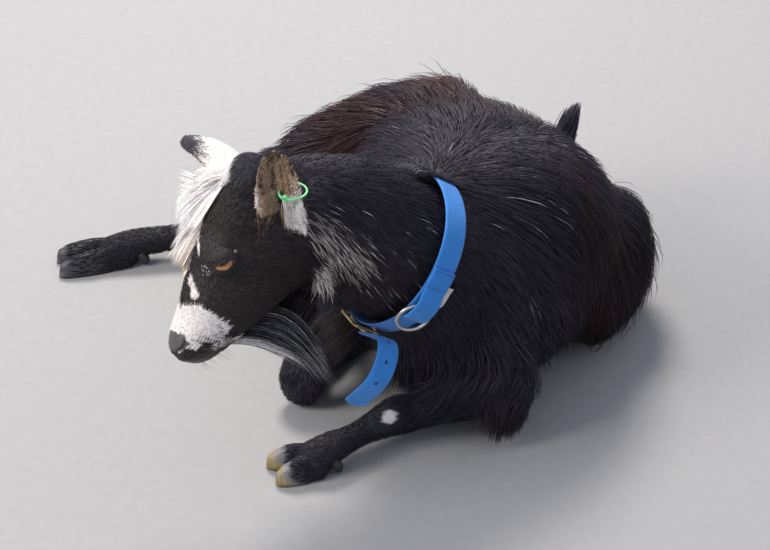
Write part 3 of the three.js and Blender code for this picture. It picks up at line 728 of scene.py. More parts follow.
def whiteness(p, part):
    """The chance of a white hair at each point, from 0 to 1."""
    h = in_head(p)
    across, back, up = h.T
    side = np.abs(across)
    rough = 1.9 * ripple(p, 11, 3) + 1.3 * ripple(p, 4, 4) + 0.8 * ripple(p, 2, 5)
    edge = np.interp(back, (60, 72, 85, 97, 110, 120, 135, 151, 165, 174),
                     (-11, -3, 0, 4, 0, -8, -3, 11, -5, -16))
    far_edge = np.interp(back, (60, 72, 95), (-13, -17, -40))
    blaze = np.minimum.reduce([edge - across, across - far_edge, 180 - back, up - 25, back - 62])
    lower = np.interp(back, (12, 17, 23, 28, 33, 40, 50), (5, -3, -5, -2, -9, -15, -11))
    muzzle = np.minimum.reduce([39.5 + 0.45 * side - back, back - 8, up - lower])
    lip_line = [(24, 31, -16), (22, 40, -21), (14, 52, -33), (9, 62, -40)]
    lip = 4.8 - from_line(np.stack((side, back, up), 1), lip_line)
    stub = 4.2 - from_line(h, [(5, 61, 40), (11, 57.5, 37), (16, 53, 31)])
    marks = 2.0 - from_line(h, [(5, 91, 57), (12, 84, 51)])
    marks = np.maximum(marks, 0.9 - far_from(h, (36.8, 83.5, 8.7)))
    for spot, reach in (((22, 76, 40), 8), ((36, 103, 37), 5)):
        far = far_from(h, spot)
        marks = np.maximum(marks, 4 * (ripple(p, 2.6, 14) - 0.62) - 3 * step(far, 0.4 * reach, reach))
    white = np.maximum.reduce([blaze + rough, muzzle + rough, lip + 0.4 * rough, stub + 0.5 * rough, marks])
    freckle = step(ripple(p, 2.6, 17) - 0.035 * (up - lower), -0.05, 0.3)
    freckle = freckle * step(up - lower, 15, 6) * (back < 48)
    chance = step(white, -0.8, 0.8) * in_parts(part, "head", "neck") * (1 - 0.9 * freckle)
    for ear, reach, slant in (("ear_left", 0.40, 0.0), ("ear_right", 0.62, 0.30)):
        at, way, rim, z = ear_axes(ear)
        s = (p - at) @ way / EAR_LENGTH
        s = s + slant * ((p - at) @ rim) * np.sign(rim[2]) / EAR_HALF_WIDTH
        there = step(s + 0.08 * ripple(p, 12, 6), reach + 0.26, reach - 0.16)
        t = ((p - at) @ rim) / EAR_HALF_WIDTH
        root = (ear == "ear_left") & (s < 0.09 + 0.14 * np.clip(-t - 0.1, 0, 1)) & (t < 0)
        there = there * np.where(root, 0, 1)
        chance = np.where(part == PART[ear], there, chance)
    body = in_parts(part, "neck", "trunk")
    for most, reach, line in (
        (0.16, 16, [(-68, -190, 290), (-50, -196, 272), (-28, -186, 258)]),
        (0.04, 34, [(-44, -196, 268), (2, -160, 214)]), (0.4, 9, [(-54, -204, 244), (-52, -202, 234)]),
        (0.012, 45, [(-60, 20, 255), (30, -20, 250), (80, -20, 150)]),
        (0.20, 13, [(36, 139, 238), (60, 139, 232)]),
    ):
        chance = np.where(body, np.maximum(chance, most * near_line(p, line, reach)), chance)
    over_wattle = in_parts(part, "wattle_left", "wattle_right") & (p[:, 2] > 229)
    chance = np.where(over_wattle, 0.35, chance)
    knee = KNEE_PATCH_RADIUS - far_from(p, KNEE_PATCH_AT)
    return np.maximum(chance, step(knee + 0.25 * rough, 0, 1.5))


def dark_tone(p, part):
    """The colour of the dark hair: black, browner on the face and redder on flank and thigh, with painted
    shade on the flank, the thigh and the legs.
    """
    brown = in_parts(part, "head", "ear_left", "ear_right") * step(in_head(p)[:, 1], 175, 130)
    # painted shade: the hair of the flank and thigh is darkened
    shaded = 1 - 0.6 * near_line(p, [(125, 40, 200), (135, 80, 150), (140, 170, 120), (110, 170, 60)], 58)
    red = 0.9 * near_line(p, [(-150, 140, 200), (-90, 175, 235), (-20, 190, 215)], 62)
    red = np.maximum(red, 1.0 * near_line(p, [(120, 70, 190), (150, 110, 110), (135, 60, 60)], 62))
    red = red * (0.65 + 0.35 * ripple(p, 60, 8))
    rusty = step(ripple(p, 90, 12) + 0.5 * ripple(p, 24, 13), -0.6, 0.9)[:, None]
    tone = SHEEN_BLUE_BLACK + rusty * (0.0055, 0.0022, 0.0)
    tone = tone + brown[:, None] * (FACE_BROWN - tone)
    tawny = 0.75 * near_line(p, [(-52, -205, 238), (-20, -170, 215)], 38) * (part == PART["neck"])
    tone = tone + tawny[:, None] * ((0.040, 0.029, 0.026) - tone)
    # painted shade: the legs' hair is darkened further
    on_leg = in_parts(part, "fore_left_upper", *(n for n in PART if "lower" in n))
    shaded = shaded * np.where(on_leg, 0.5, 1)
    return (tone + np.clip(red, 0, 1)[:, None] * (RED_BROWN - tone)) * shaded[:, None]


co = from_row(coords_of(hide_mesh))
h = in_head(co)
white = whiteness(co, part)
tone = dark_tone(co, part) * 0.9
tone = tone + white[:, None] * (WHITE * (0.84, 0.79, 0.75) - tone)
bare_nose = step(np.minimum.reduce([21.5 - np.abs(h[:, 0]), 17.5 + 0.1 * h[:, 2] - h[:, 1], h[:, 2] - 5.0])
                 + 0.6 * ripple(co, 5, 9), -0.8, 0.8) * (part == PART["head"])
lips = step(np.minimum(34 - h[:, 1], -6 - 0.25 * h[:, 1] - h[:, 2]) + 1.5 * ripple(co, 6, 2), -1, 1)
lips *= (part == PART["head"]) * (1 - white)
knee = step(KNEE_PATCH_RADIUS - far_from(co, KNEE_PATCH_AT), 0, 1.5)
inner_ear = np.zeros(len(co))
normals = read(hide_mesh.vertex_normals, "vector", 3)
for ear in ears:
    at, way, across, z = ear_axes(ear)
    s = (co - at) @ way / EAR_LENGTH
    facing = (normals @ z > 0.1) & (part == PART[ear])
    inner_ear = np.where(facing, 1, inner_ear)
    t = ((co - at) @ across) / EAR_HALF_WIDTH
    # The bare inner ear's colour has painted light and shade in it: lighter along its folds, painted shade
    # in the canal and down at the root. It also darkens towards the tip.
    fold = np.exp(-(((t - 0.16 + 0.2 * (s - 0.5)) / 0.15) ** 2)) + 0.7 * np.exp(-(((t + 0.5) / 0.13) ** 2))
    hollows = step(0.5 * ripple(co, 15, 61) + 0.5 * ripple(co, 7, 62), -0.25, 0.35)
    ear_painted_light = 0.2 + 0.35 * hollows + 1.0 * fold + 0.5 * step(s, 0.36, 0.24)
    ear_painted_light = ear_painted_light * (1 - 0.6 * step(s, 0.7, 0.95)) * (0.3 + 0.7 * step(s, 0.02, 0.12))
    canal_shade = step(np.abs(t - 0.05) - 0.5 * (s - 0.1), 0.09, 0.02) * step(s, 0.08, 0.12) * step(s, 0.36, 0.3)
    skin = np.array((0.30, 0.195, 0.125))[None] * (ear_painted_light * (1 - 0.93 * canal_shade))[:, None]
    tone = np.where(facing[:, None], skin, tone)
for mask, colour in ((bare_nose, (0.062, 0.053, 0.051)), (lips, (0.024, 0.020, 0.019)),
                     (lid, (0.020, 0.014, 0.011)), (knee, (0.56, 0.53, 0.50))):
    tone = tone + mask[:, None] * (np.array(colour) - tone)
folded = np.stack((np.abs(h[:, 0]), h[:, 1], h[:, 2]), 1)
nostril = [(9.5, 6.8, 6), (15.2, 11.3, 6.7), (17.8, 17, 9.3), (16.6, 19.7, 13.2), (12.5, 19.5, 15)]
mouth = [(0, 1, -8), (13, 5, -8.5), (21, 14, -12), (24, 26, -16)]
# painted shade: the nostrils and the line of the mouth are darkened
hollow = np.maximum(near_line(folded, nostril, 1.9), near_line(folded, mouth, 1.7))
tone = tone * (1 - 0.9 * hollow * (part == PART["head"]))[:, None]
bare = np.clip(bare_nose + lips + lid + knee, 0, 1)


def write_tint(mesh, tone):
    tint = mesh.color_attributes.new("tint", "FLOAT_COLOR", "POINT")
    tint.data.foreach_set("color", np.concatenate((tone, np.ones((len(tone), 1))), 1).ravel())


def write_field(mesh, name, values):
    mesh.attributes.new(name, "FLOAT", "POINT").data.foreach_set("value", np.asarray(values, float))


write_tint(hide_mesh, tone)
write_field(hide_mesh, "bare", bare)

skin, w = finish_of("hide")
place = w.place()
colour = w.field("tint", "Color")
naked = w.field("bare")
mottle = place.noise(260.0, 4.0).mix((0.72, 0.70, 0.70), (1.25, 1.27, 1.3))
pebble = w.node("ShaderNodeTexVoronoi", {"feature": "DISTANCE_TO_EDGE"}, {"Vector": place, "Scale": 620.0},
                "Distance")
fur = place.noise(900.0, 3.0)
height = naked * (pebble * 1.4).kept() + (1 - naked) * fur
close(w, {
    "Base Color": colour.times(mottle),
    "Roughness": 0.72 - naked * 0.30,
    "Normal": height.bump(0.5, 0.0006),
})
hide.data.materials.clear()
hide.data.materials.append(skin)
hide_mesh.polygons.foreach_set("material_index", np.zeros(len(hide_mesh.polygons), int))
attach(hide, "root")
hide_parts(*(n for n in frame["nodes"] if n.startswith(
    ("head", "trunk", "ear_left", "ear_right", "wattle", "neck", "foreleg", "hindleg", "tail"))))

# ---------------------------------------------------------------- coat
# Each lock of hair is a thin solid three-sided blade that starts in the hide and lies along the
# body the way a goat's coat does: back along the face and neck, down from the spine, and down the
# legs. Neighbouring locks draw together towards their tips.

dice = np.random.default_rng(11)


def vary(low, high, rows):
    """An even chance between low and high for each row."""
    return dice.uniform(low, high, len(rows))


SPINE = np.array([(-80, -170, 310), (-40, -90, 285), (-11, -24, 270), (-11, 66, 262), (34, 139, 238),
                  (45, 215, 205), (30, 290, 130)], float)


def along_spine(p):
    """The nearest place on the spine, and the way the spine runs there towards the tail."""
    best = np.full(len(p), 1e9)
    spot, way = np.zeros((len(p), 3)), np.zeros((len(p), 3))
    for a, b in zip(SPINE[:-1], SPINE[1:]):
        t = np.clip((p - a) @ (b - a) / ((b - a) @ (b - a)), 0, 1)
        q = a + t[:, None] * (b - a)
        far = far_from(p, q)
        nearer = far < best
        best = np.where(nearer, far, best)
        spot = np.where(nearer[:, None], q, spot)
        way = np.where(nearer[:, None], unit(b - a), way)
    return spot, way


DOWN = np.array((0, 0, -1.0))
spot, way = along_spine(co)
off = co - spot
far = np.linalg.norm(off, axis=1)[:, None]
flow = 0.55 * way + 0.85 * unit(off * (1, 1, 0.6)) * step(far, 0, 45) + 0.55 * DOWN * step(far, 30, 130)
chest = step(-70 - co[:, 1], 0, 30)[:, None] * (part == PART["trunk"])[:, None]
flow = flow * (1 - chest) + chest * (DOWN + (0, 0.35, 0))
bend = {  # how far the hair of a part follows the part and falls, where it isn't (1, 0)
    "neck": (-0.9, 0.42), "head": (1, 0.10), "fore_left_upper": (1, 0.3), "fore_right_upper": (1, 0.3),
    "hind_right_upper": (0.55, 0.2), "hind_left_upper": (0.3, 0.5),
}
for name in (n for n in names if n != "trunk"):
    follow, fall = bend.get(name, (1, 0))
    here = part == PART[name]
    way_here = follow * part_along + fall * DOWN
    if name.startswith("hind") and name.endswith("upper"):
        way_here = way_here + 0.6 * flow
    flow = np.where(here[:, None], way_here, flow)
on_cheek = (part == PART["head"]) * step(h[:, 1], 60, 110) * step(30 - h[:, 2], 0, 40)
flow = flow - (0.45 * on_cheek)[:, None] * HEAD[2]
behind_cheek = step(far_from(co, (-60, -212, 245)), 62, 20) * in_parts(part, "neck", "head")
flow = unit(flow) + (1.1 * behind_cheek * (h[:, 1] > 112))[:, None] * DOWN
flow = soften(unit(flow), edges_of(hide_mesh), 14)
flow = flow + 0.16 * np.stack([ripple(co, 34, 20 + k) + 0.8 * ripple(co, 13, 30 + k) for k in range(3)], 1)
flow = unit(flow - (flow * normals).sum(1)[:, None] * normals)

# part: (length, depth the coat stands over the hide, locks per square mm, width, lengths per lock)
coat = {
    "head": (6.0, 1.2, 0.43, 0.45, 2), "neck": (22, 8, 0.170, 0.75, 3), "trunk": (52, 15, 0.094, 0.95, 3),
    "fore_left_upper": (18, 5, 0.22, 0.8, 3), "fore_left_lower": (8, 2.0, 0.30, 0.65, 2),
    "fore_right_upper": (17, 4.5, 0.22, 0.8, 3), "fore_right_lower": (8, 2.2, 0.26, 0.7, 2),
    "hind_right_upper": (48, 13, 0.108, 0.93, 3), "hind_right_lower": (9, 2.4, 0.28, 0.7, 2),
    "hind_left_upper": (54, 13, 0.10, 0.92, 3), "hind_left_lower": (9, 2.4, 0.24, 0.7, 2),
    "tail": (75, 14, 0.30, 0.9, 4),
    "ear_left": (4.5, 1.0, 0.72, 0.42, 2), "ear_right": (5.5, 1.0, 0.50, 0.45, 2),
    "wattle_left": (7, 1.5, 0.6, 0.5, 2), "wattle_right": (7, 1.5, 0.6, 0.5, 2),
}
kinds = np.array([coat[n] for n in names])
length, depth, thick, width = (kinds[part, k] for k in range(4))
trunk_far = far[:, 0]
on_trunk = in_parts(part, "trunk", "hind_right_upper", "hind_left_upper")
length = np.where(on_trunk, 34 + 30 * step(trunk_far, 20, 110) + 10 * step(90 - co[:, 2], 0, 60), length)
low_leg = step(70 - co[:, 2], 0, 25) * step(-205 - co[:, 0], 0, 40) * (part == PART["hind_right_upper"])
length, depth = length * (1 - 0.72 * low_leg), depth * (1 - 0.65 * low_leg)
thick = thick * (1 + 1.4 * low_leg)
on_head = part == PART["head"]
length = np.where(on_head, 5 + 3.5 * step(h[:, 1], 60, 110) + 9 * step(h[:, 1], 135, 175)
                  + 6 * step(h[:, 1], 85, 140) * step(25 - h[:, 2], 0, 50), length)
length = np.where(on_head, length * (1 - 0.35 * step(45 - h[:, 1], 0, 25)), length)
depth = np.where(on_head, 0.5 + 0.11 * length, depth)
from_eye = from_eyes(h)
length = np.where(on_head & (from_eye < 24), length * (0.38 + 0.62 * step(from_eye, 14, 24)), length)
by_knee = far_from(co, KNEE_PATCH_AT)
length = length * (0.3 + 0.7 * step(by_knee, 12, 24))
elbow = step(np.linalg.norm((co - (60, -60, 60)) / (70, 46, 60), axis=1), 1, 0.5)
elbow *= in_parts(part, "fore_left_upper", "trunk")
length = np.where(part == PART["fore_left_upper"], length + 26 * elbow, length)
inward_lean = -0.35 - 0.5 * step(co[:, 0], 78, 108)
flow = unit(flow + (0.9 * elbow)[:, None] * (DOWN + inward_lean[:, None] * (1.0, 0.28, 0)))
flow = unit(flow - (flow * normals).sum(1)[:, None] * normals)
throat = (part == PART["neck"]) * step(225 - co[:, 2], 0, 60)
length, depth = length + 14 * throat, depth + 2 * throat
thick = thick * (1 - bare) * (co[:, 2] > 2.5)

hide_mesh.calc_loop_triangles()
tris = read(hide_mesh.loop_triangles, "vertices", 3, int)
tri_loops = read(hide_mesh.loop_triangles, "loops", 3, int)
uv = read(hide_mesh.uv_layers["OFBake"].data, "uv", 2)
corners = co[tris]
area = np.linalg.norm(np.cross(corners[:, 1] - corners[:, 0], corners[:, 2] - corners[:, 0]), axis=1) / 2
surface = BVHTree.FromPolygons(co.tolist(), tris.tolist())
tri_flow = flow[tris].mean(1)
tri_part = part[tris[:, 0]]


def scatter(share):
    """Evenly spread roots, share per square mm of each triangle: triangle and corner weights."""
    sums = np.cumsum(area * share)
    picks = np.searchsorted(sums, np.arange(dice.uniform(), sums[-1], 1.0))
    picks = np.minimum(picks, len(tris) - 1)
    a, b = dice.uniform(size=(2, len(picks)))
    flip = a + b > 1
    a, b = np.where(flip, 1 - a, a), np.where(flip, 1 - b, b)
    return picks, np.stack((1 - a - b, a, b), 1)


def at_roots(values, picks, share):
    """Values of the hide's points, read at each root."""
    return (values[tris[picks]] * share.reshape(share.shape + (1,) * (values.ndim - 1))).sum(1)


def sprout(roots, up, way, size, layer, steps, lift=0.0, fall=0.0, hug=1.0, wave=0.0):
    """Points of each lock, from the hide to its tip. hug keeps it at its layer over the hide."""
    n = len(roots)
    points = np.empty((n, steps + 1, 3))
    points[:, 0] = roots - up * 1.2
    p, reach = roots.copy(), (size / steps)[:, None]
    lift, fall, hug = (np.broadcast_to(np.asarray(v, float), n) for v in (lift, fall, hug))
    swing = dice.normal(size=(n, 3)) * wave
    for k in range(1, steps + 1):
        rise = up * (lift * (1.0 if k == 1 else 0.25))[:, None]
        way = unit(way + rise + DOWN * (fall * k / steps)[:, None] + swing * math.cos(2.4 * k))
        p = p + way * reach
        found = [surface.find_nearest(q)[:3] for q in p.tolist()]
        place = np.array([f[0] for f in found])
        up = np.array([f[1] for f in found])
        tri = np.array([f[2] for f in found])
        height = ((p - place) * up).sum(1)
        wanted = layer * (1 - (1 - k / steps) ** 2) + 0.25
        held = place + up * wanted[:, None]
        out = place + up * np.maximum(height, 0.6)[:, None]
        p = np.where(height[:, None] < 0.6, out, p)
        p = p + (held - p) * hug[:, None]
        p[:, 2] = np.maximum(p[:, 2], 0.5 + 2.5 * ((roots[:, 0] * 7.3) % 1))
        way = unit((1 - 0.6 * hug)[:, None] * way + (0.6 * hug)[:, None] * tri_flow[tri])
        points[:, k] = p
    return points


def draw_together(points, roots, per_lock, strength, spread=0.3):
    """Locks near each other lean to a shared one, more and more towards their tips."""
    if len(roots) < per_lock * 2:
        return points
    leaders = dice.choice(len(roots), max(1, len(roots) // per_lock), replace=False)
    finder = finder_of(roots[leaders])
    led_by = leaders[[finder.find(p)[1] for p in roots.tolist()]]
    grip = vary(0.35, 1.0, roots)[led_by] * strength
    grip *= step(far_from(roots, roots[led_by]), 26, 10)
    along = np.linspace(0, 1, points.shape[1])[None, :, None] ** 1.25
    pull = grip[:, None, None] * along
    aim = points[led_by] + spread * (roots - roots[led_by])[:, None]
    return points * (1 - pull) + aim * pull


COLLAR_AXIS = unit((-0.579, -0.599, 0.554))
COLLAR = np.array((unit(np.cross((0, 0, 1), COLLAR_AXIS)),
                   unit(np.cross(COLLAR_AXIS, np.cross((0, 0, 1), COLLAR_AXIS))), COLLAR_AXIS))
BAND_RADII, BAND_WIDTH, BAND_THICK = np.array((68, 76)), 25, 2.4


def under_collar(points):
    """Hair under the collar's band is pressed flat, and hair beside it springs up again."""
    q = (points - COLLAR_AT) @ COLLAR.T
    radial = np.linalg.norm(q[..., :2] / BAND_RADII, axis=-1)
    inside = radial[:, :1] < 0.99
    past = np.maximum(np.abs(q[..., 2]) - BAND_WIDTH / 2 - 1, 0)
    most = 0.985 + past * 0.8 / 72
    pressed = np.where(inside & (radial > most), most / np.maximum(radial, 1e-6), 1)
    near = (np.abs(q[..., 2]) < BAND_WIDTH / 2 + 1) & ~inside & (radial < 1.09)
    pressed = np.where(near, 1.09 / np.maximum(radial, 1e-6), pressed)
    q[..., :2] *= pressed[..., None]
    return COLLAR_AT + q @ COLLAR


fleece, w = finish_of("coat")
place = w.place()
colour = w.field("tint", "Color")
streak = place.noise(420.0, 3.0)
close(w, {
    "Base Color": colour.times(streak.mix((0.6, 0.6, 0.62), (1.5, 1.46, 1.44))),
    "Roughness": 0.36 + streak * 0.18,
    "Specular IOR Level": 0.31,
})


def lay(name, points, up, width, root_tone, tip_tone, map_at):
    """One mesh of solid three-sided blades, and its map: each blade is a patch at its root."""
    n, rings = points.shape[0], points.shape[1] - 1
    ahead = unit(np.gradient(points, axis=1))
    across = unit(np.cross(ahead, up[:, None]))
    high = np.cross(across, ahead)
    taper = np.interp(np.linspace(0, 1, rings + 1), (0, 0.35, 0.8, 1), (0.8, 1, 0.62, 0.2))
    half = width[:, None, None] * 0.5 * taper[None, :rings, None]
    mid = points[:, :rings]
    ring = np.stack((mid + across[:, :rings] * half, mid - across[:, :rings] * half,
                     mid + high[:, :rings] * half * 1.1), 2)
    verts = np.concatenate((ring.reshape(n, -1, 3), points[:, rings:]), 1)
    per = verts.shape[1]
    faces, patch = [(2, 1, 0)], [((0.6, 0.1), (1, 0), (0, 0))]
    columns = (0, 0.35, 1.0)
    for r in range(rings - 1):
        for j in range(3):
            k = (j + 1) % 3
            a, b = 3 * r + j, 3 * r + k
            faces.append((a, b, b + 3, a + 3))
            low, high_v = r / rings, (r + 1) / rings
            patch.append(((columns[j], low), (columns[k], low), (columns[k], high_v), (columns[j], high_v)))
    for j in range(3):
        k = (j + 1) % 3
        faces.append((3 * rings - 3 + j, 3 * rings - 3 + k, 3 * rings))
        low = (rings - 1) / rings
        patch.append(((columns[j], low), (columns[k], low), ((columns[j] + columns[k]) / 2, 1)))
    sizes = np.array([len(f) for f in faces])
    flat = np.array([i for f in faces for i in f])
    flat_patch = np.array([c for f in patch for c in f]) - 0.5
    starts = np.concatenate(([0], np.cumsum(sizes)[:-1]))
    mesh = bpy.data.meshes.new(name)
    mesh.vertices.add(n * per)
    mesh.vertices.foreach_set("co", to_row(verts.reshape(-1, 3)).ravel())
    mesh.loops.add(n * len(flat))
    mesh.loops.foreach_set("vertex_index", (flat[None] + (np.arange(n) * per)[:, None]).ravel())
    mesh.polygons.add(n * len(faces))
    mesh.polygons.foreach_set("loop_start", (starts[None] + (np.arange(n) * len(flat))[:, None]).ravel())
    mesh.polygons.foreach_set("use_smooth", np.ones(n * len(faces), bool))
    mesh.update(calc_edges=True)
    share = np.linspace(0, 1, rings + 1)
    tone = root_tone[:, None] + share[None, :, None] * (tip_tone - root_tone)[:, None]
    tone = np.concatenate((np.repeat(tone[:, :rings], 3, 1), tone[:, rings:]), 1).reshape(-1, 3)
    write_tint(mesh, tone)
    bake = mesh.uv_layers.new(name="OFBake")
    bake.data.foreach_set("uv", (map_at[:, None] + 0.003 * flat_patch[None]).reshape(-1))
    mesh.materials.append(fleece)
    piece = put(name, mesh)
    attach(piece, "root")
    return piece


def tones(p, part):
    """Root and tip colours of locks: each is white or dark by the marking's chance."""
    n = len(p)
    is_white = dice.uniform(size=n) < whiteness(p, part)
    short = in_parts(part, "head", "ear_left", "ear_right")
    strength = dice.uniform(np.where(short, 0.8, 0.6), np.where(short, 1.25, 1.5), n)
    dark = dark_tone(p, part) * strength[:, None]
    pale = WHITE * dice.uniform(0.78, 1.08, n)[:, None]
    root = np.where(is_white[:, None], pale * (0.86, 0.83, 0.80), dark * 0.75)
    tip = np.where(is_white[:, None], pale, dark * 1.25)
    return root, tip, is_white


groups = {
    "coat_head": ("head", "wattle_left", "wattle_right"), "coat_ears": ("ear_left", "ear_right"),
    "coat_neck": ("neck",), "coat_trunk": ("trunk",),
    "coat_thighs": ("hind_right_upper", "hind_left_upper"),
    "coat_forelegs": ("fore_left_upper", "fore_right_upper"),
    "coat_feet": ("fore_left_lower", "fore_right_lower", "hind_right_lower", "hind_left_lower"),
    "coat_tail": ("tail",),
}
MOST_TRIANGLES = 190000
for group, members in groups.items():
    inside = np.isin(tri_part, [PART[m] for m in members])
    picks, share = scatter(np.where(inside, thick[tris].mean(1), 0))
    roots = at_roots(co, picks, share)
    up = unit(at_roots(normals, picks, share))
    way = unit(at_roots(flow, picks, share))
    size = at_roots(length, picks, share) * vary(0.6, 1.12, picks)
    over = at_roots(depth, picks, share) * vary(0.12, 1.0, picks)
    broad = at_roots(width, picks, share) * vary(0.7, 1.15, picks)
    map_at = (uv[tri_loops[picks]] * share[..., None]).sum(1)
    steps = int(coat[members[0]][4])
    wild = dice.uniform(size=len(picks)) < 0.05
    lift = np.where(wild, 0.45, 0.10) if steps > 2 else vary(0.05, 0.28, picks)
    if group == "coat_feet":
        lift = lift * 0.3
    hug = np.where(wild, 0.25, 0.9) if steps > 2 else 0.75
    if group == "coat_tail":
        lift, hug = 0.3, 0.35
    points = sprout(roots, up, way, size, over, steps, lift, 0.12 if steps > 2 else 0, hug,
                    0.10 if steps > 2 else 0.08)
    points = draw_together(points, roots, 12 if steps > 2 else 7, 0.62 if steps > 2 else 0.3)
    if steps > 2 and group != "coat_tail":
        points = draw_together(points, roots, 90, 0.22, 0.6)
    if group == "coat_tail":
        points = draw_together(points, roots, 60, 0.85, 0.1)
    points = under_collar(points)
    root_tone, tip_tone, is_white = tones(roots, part[tris[picks, 0]])
    broad = broad * np.where(is_white & (steps > 2), 0.55, 1)
    # painted shade: the feet's dark hair is darkened further
    if group == "coat_feet":
        root_tone, tip_tone = (np.where(is_white[:, None], t, t * 0.72) for t in (root_tone, tip_tone))
    if group == "coat_ears":
        speckle = ripple(roots, 7, 41) + 0.6 * ripple(roots, 3, 42) + dice.normal(size=len(roots)) * 0.35
        at, way_out, across, _ = ear_axes("ear_left")
        on_left = part[tris[picks, 0]] == PART["ear_left"]
        s = np.where(on_left, (roots - at) @ way_out, 0)
        speckle = speckle - 0.8 * step(s, 56, 76) + 0.7
        t = ((roots - at) @ across) / EAR_HALF_WIDTH
        # painted light and shade along the ear's ridges: hair on the ridges is pale, hair in the grooves
        # between them dark
        ridge = np.max([np.exp(-(((t - c) / 0.13) ** 2)) for c in (-0.42, 0.02, 0.45)], 0)
        ridge = np.where(np.abs(t) < 0.75, 2.0 * ridge - 1.1, 0)
        speckle = speckle + ridge * step(s, 66, 50) * step(s, 14, 26)
        speckle = speckle - 1.1 * step(np.abs(t), 0.66, 0.95) * step(s, 26, 42)
        fawn = np.where((speckle > 0)[:, None], CREAM * (1.5, 1.28, 1.08), FACE_BROWN * 2.6)
        fawn = fawn * vary(0.7, 1.25, roots)[:, None]
        inside_ear = (at_roots(inner_ear, picks, share) > 0.5)[:, None]
        # painted shade: the hair in the deep canal is black
        deep = within(s, 8, 26) & (np.abs(t - 0.05) * EAR_HALF_WIDTH < 1.2 + 0.17 * (s - 8))
        fawn = np.where(deep[:, None], SHEEN_BLUE_BLACK, fawn)
        below = (s < 7 + 11 * np.clip(-t - 0.1, 0, 1)) & (t < 0) & on_left
        fawn = np.where(below[:, None], FACE_BROWN, fawn)
        root_tone = np.where(inside_ear, fawn * 0.8, root_tone)
        tip_tone = np.where(inside_ear, fawn, tip_tone)
    each = MOST_TRIANGLES // (6 * steps - 2)
    order = np.argsort(roots[:, 1], kind="stable")
    for i, start in enumerate(range(0, len(order), each)):
        o = order[start:start + each]
        lay(f"{group}_{i}", points[o], up[o], broad[o], root_tone[o], tip_tone[o], map_at[o])

# ---------------------------------------------------------------- long and loose hair
# The hair that stands off the body, in blades like the coat's: the white forelock swept to the right,
# the goatee, the fringes of elbow and brisket, the crest that lies over the collar, the loose pale
# hairs behind the jaw, the lashes and whiskers, and the soft hair at the ears' roots.


def roots_in(mask, share):
    """Roots scattered where mask holds, with the hide's outward direction, map place and triangle."""
    picks, corner = scatter(np.where(mask, share, 0))
    return (at_roots(co, picks, corner), unit(at_roots(normals, picks, corner)),
            (uv[tri_loops[picks]] * corner[..., None]).sum(1), picks)


def map_near(points):
    """The map place of the hide nearest to each point."""
    return uv[tri_loops[[surface.find_nearest(p)[2] for p in points.tolist()]]].mean(1)


def columns_of(rows, count):
    """Rows of arrays joined column by column."""
    return (np.concatenate([row[k] for row in rows]) for k in range(count))


def arched(roots, up, middle, tips, steps, reach=1.0):
    """Locks that leave the hide, bend by a middle point and end at, or part of the way to, their tips."""
    t = np.linspace(0, 1, steps + 1)[None, :, None] * reach
    start = (roots - up * 1.2)[:, None]
    return start * (1 - t) ** 2 + middle[:, None] * 2 * t * (1 - t) + tips[:, None] * t ** 2


tri_middle = corners.mean(1)
tri_head = in_head(tri_middle)
tri_up = unit(normals[tris].mean(1))
head_tri = tri_part == PART["head"]

mask = head_tri & within(tri_head[:, 1], 70, 160) & (tri_head[:, 2] > 36)
roots, up, map_at, picks = roots_in(mask, 0.46)
hr = in_head(roots)
edge = np.interp(hr[:, 1], (66, 72, 85, 97, 110, 120, 135, 151, 172), (-8, -5, -3, 1, -2, -9, -5, 6, -14))
far_edge = np.interp(hr[:, 1], (66, 72, 95), (-10, -16, -36))
keep = (hr[:, 0] < edge + 2) & (hr[:, 0] > far_edge)
roots, up, map_at, hr = roots[keep], up[keep], map_at[keep], hr[keep]
up_here = up @ HEAD.T
off_swirl = (hr - (7, 150, 79)) @ np.array(((0.43, -0.14), (0.63, 0.755), (-0.65, 0.64)))
bearing = np.degrees(np.arctan2(-off_swirl[:, 1], -off_swirl[:, 0])) + dice.normal(size=len(hr)) * 4
headings = np.array(((-0.88, -0.25, 0.10), (-0.86, -0.30, 0.10), (-0.36, -0.88, -0.14),
                     (-0.10, -0.88, -0.45), (0.05, -0.85, -0.55)))
heading = unit(np.stack([np.interp(bearing, (-30, 0, 42, 65, 85), column) for column in headings.T], 1))
heading = unit(heading - 0.7 * np.minimum((heading * up_here).sum(1), 0)[:, None] * up_here)
outline = np.interp(bearing, (-30, -15, 0, 30, 45, 65, 85), (34, 52, 59, 62, 70, 84, 80))
room = outline - np.linalg.norm(off_swirl, axis=1)
size = np.clip(room * 1.12 * vary(0.8, 1.08, hr) + 5, 9, 54)[:, None]
curl = (step(bearing, 46, 12) * step(bearing, -26, 4))[:, None]
middle = hr + (heading + up_here * (0.30 - 0.12 * curl)) * size * 0.5
tips = hr + (heading + up_here * (0.16 - 0.10 * curl) + np.array((0, 0.15, 0.38)) * curl) * size
points = arched(roots, up, from_head(middle), from_head(tips), 5)
points = draw_together(points, roots, 26, 0.85, 0.22)
pale = WHITE * vary(0.85, 1.1, roots)[:, None]
warm = 1 + step(hr[:, 1], 132, 92)[:, None] * (np.array((1.0, 0.90, 0.78)) - 1)
width = vary(0.55, 0.95, roots)
forelock = lay("forelock_hair", points, up, width, pale * warm * 0.9, pale * warm, map_at)
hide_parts("forelock")

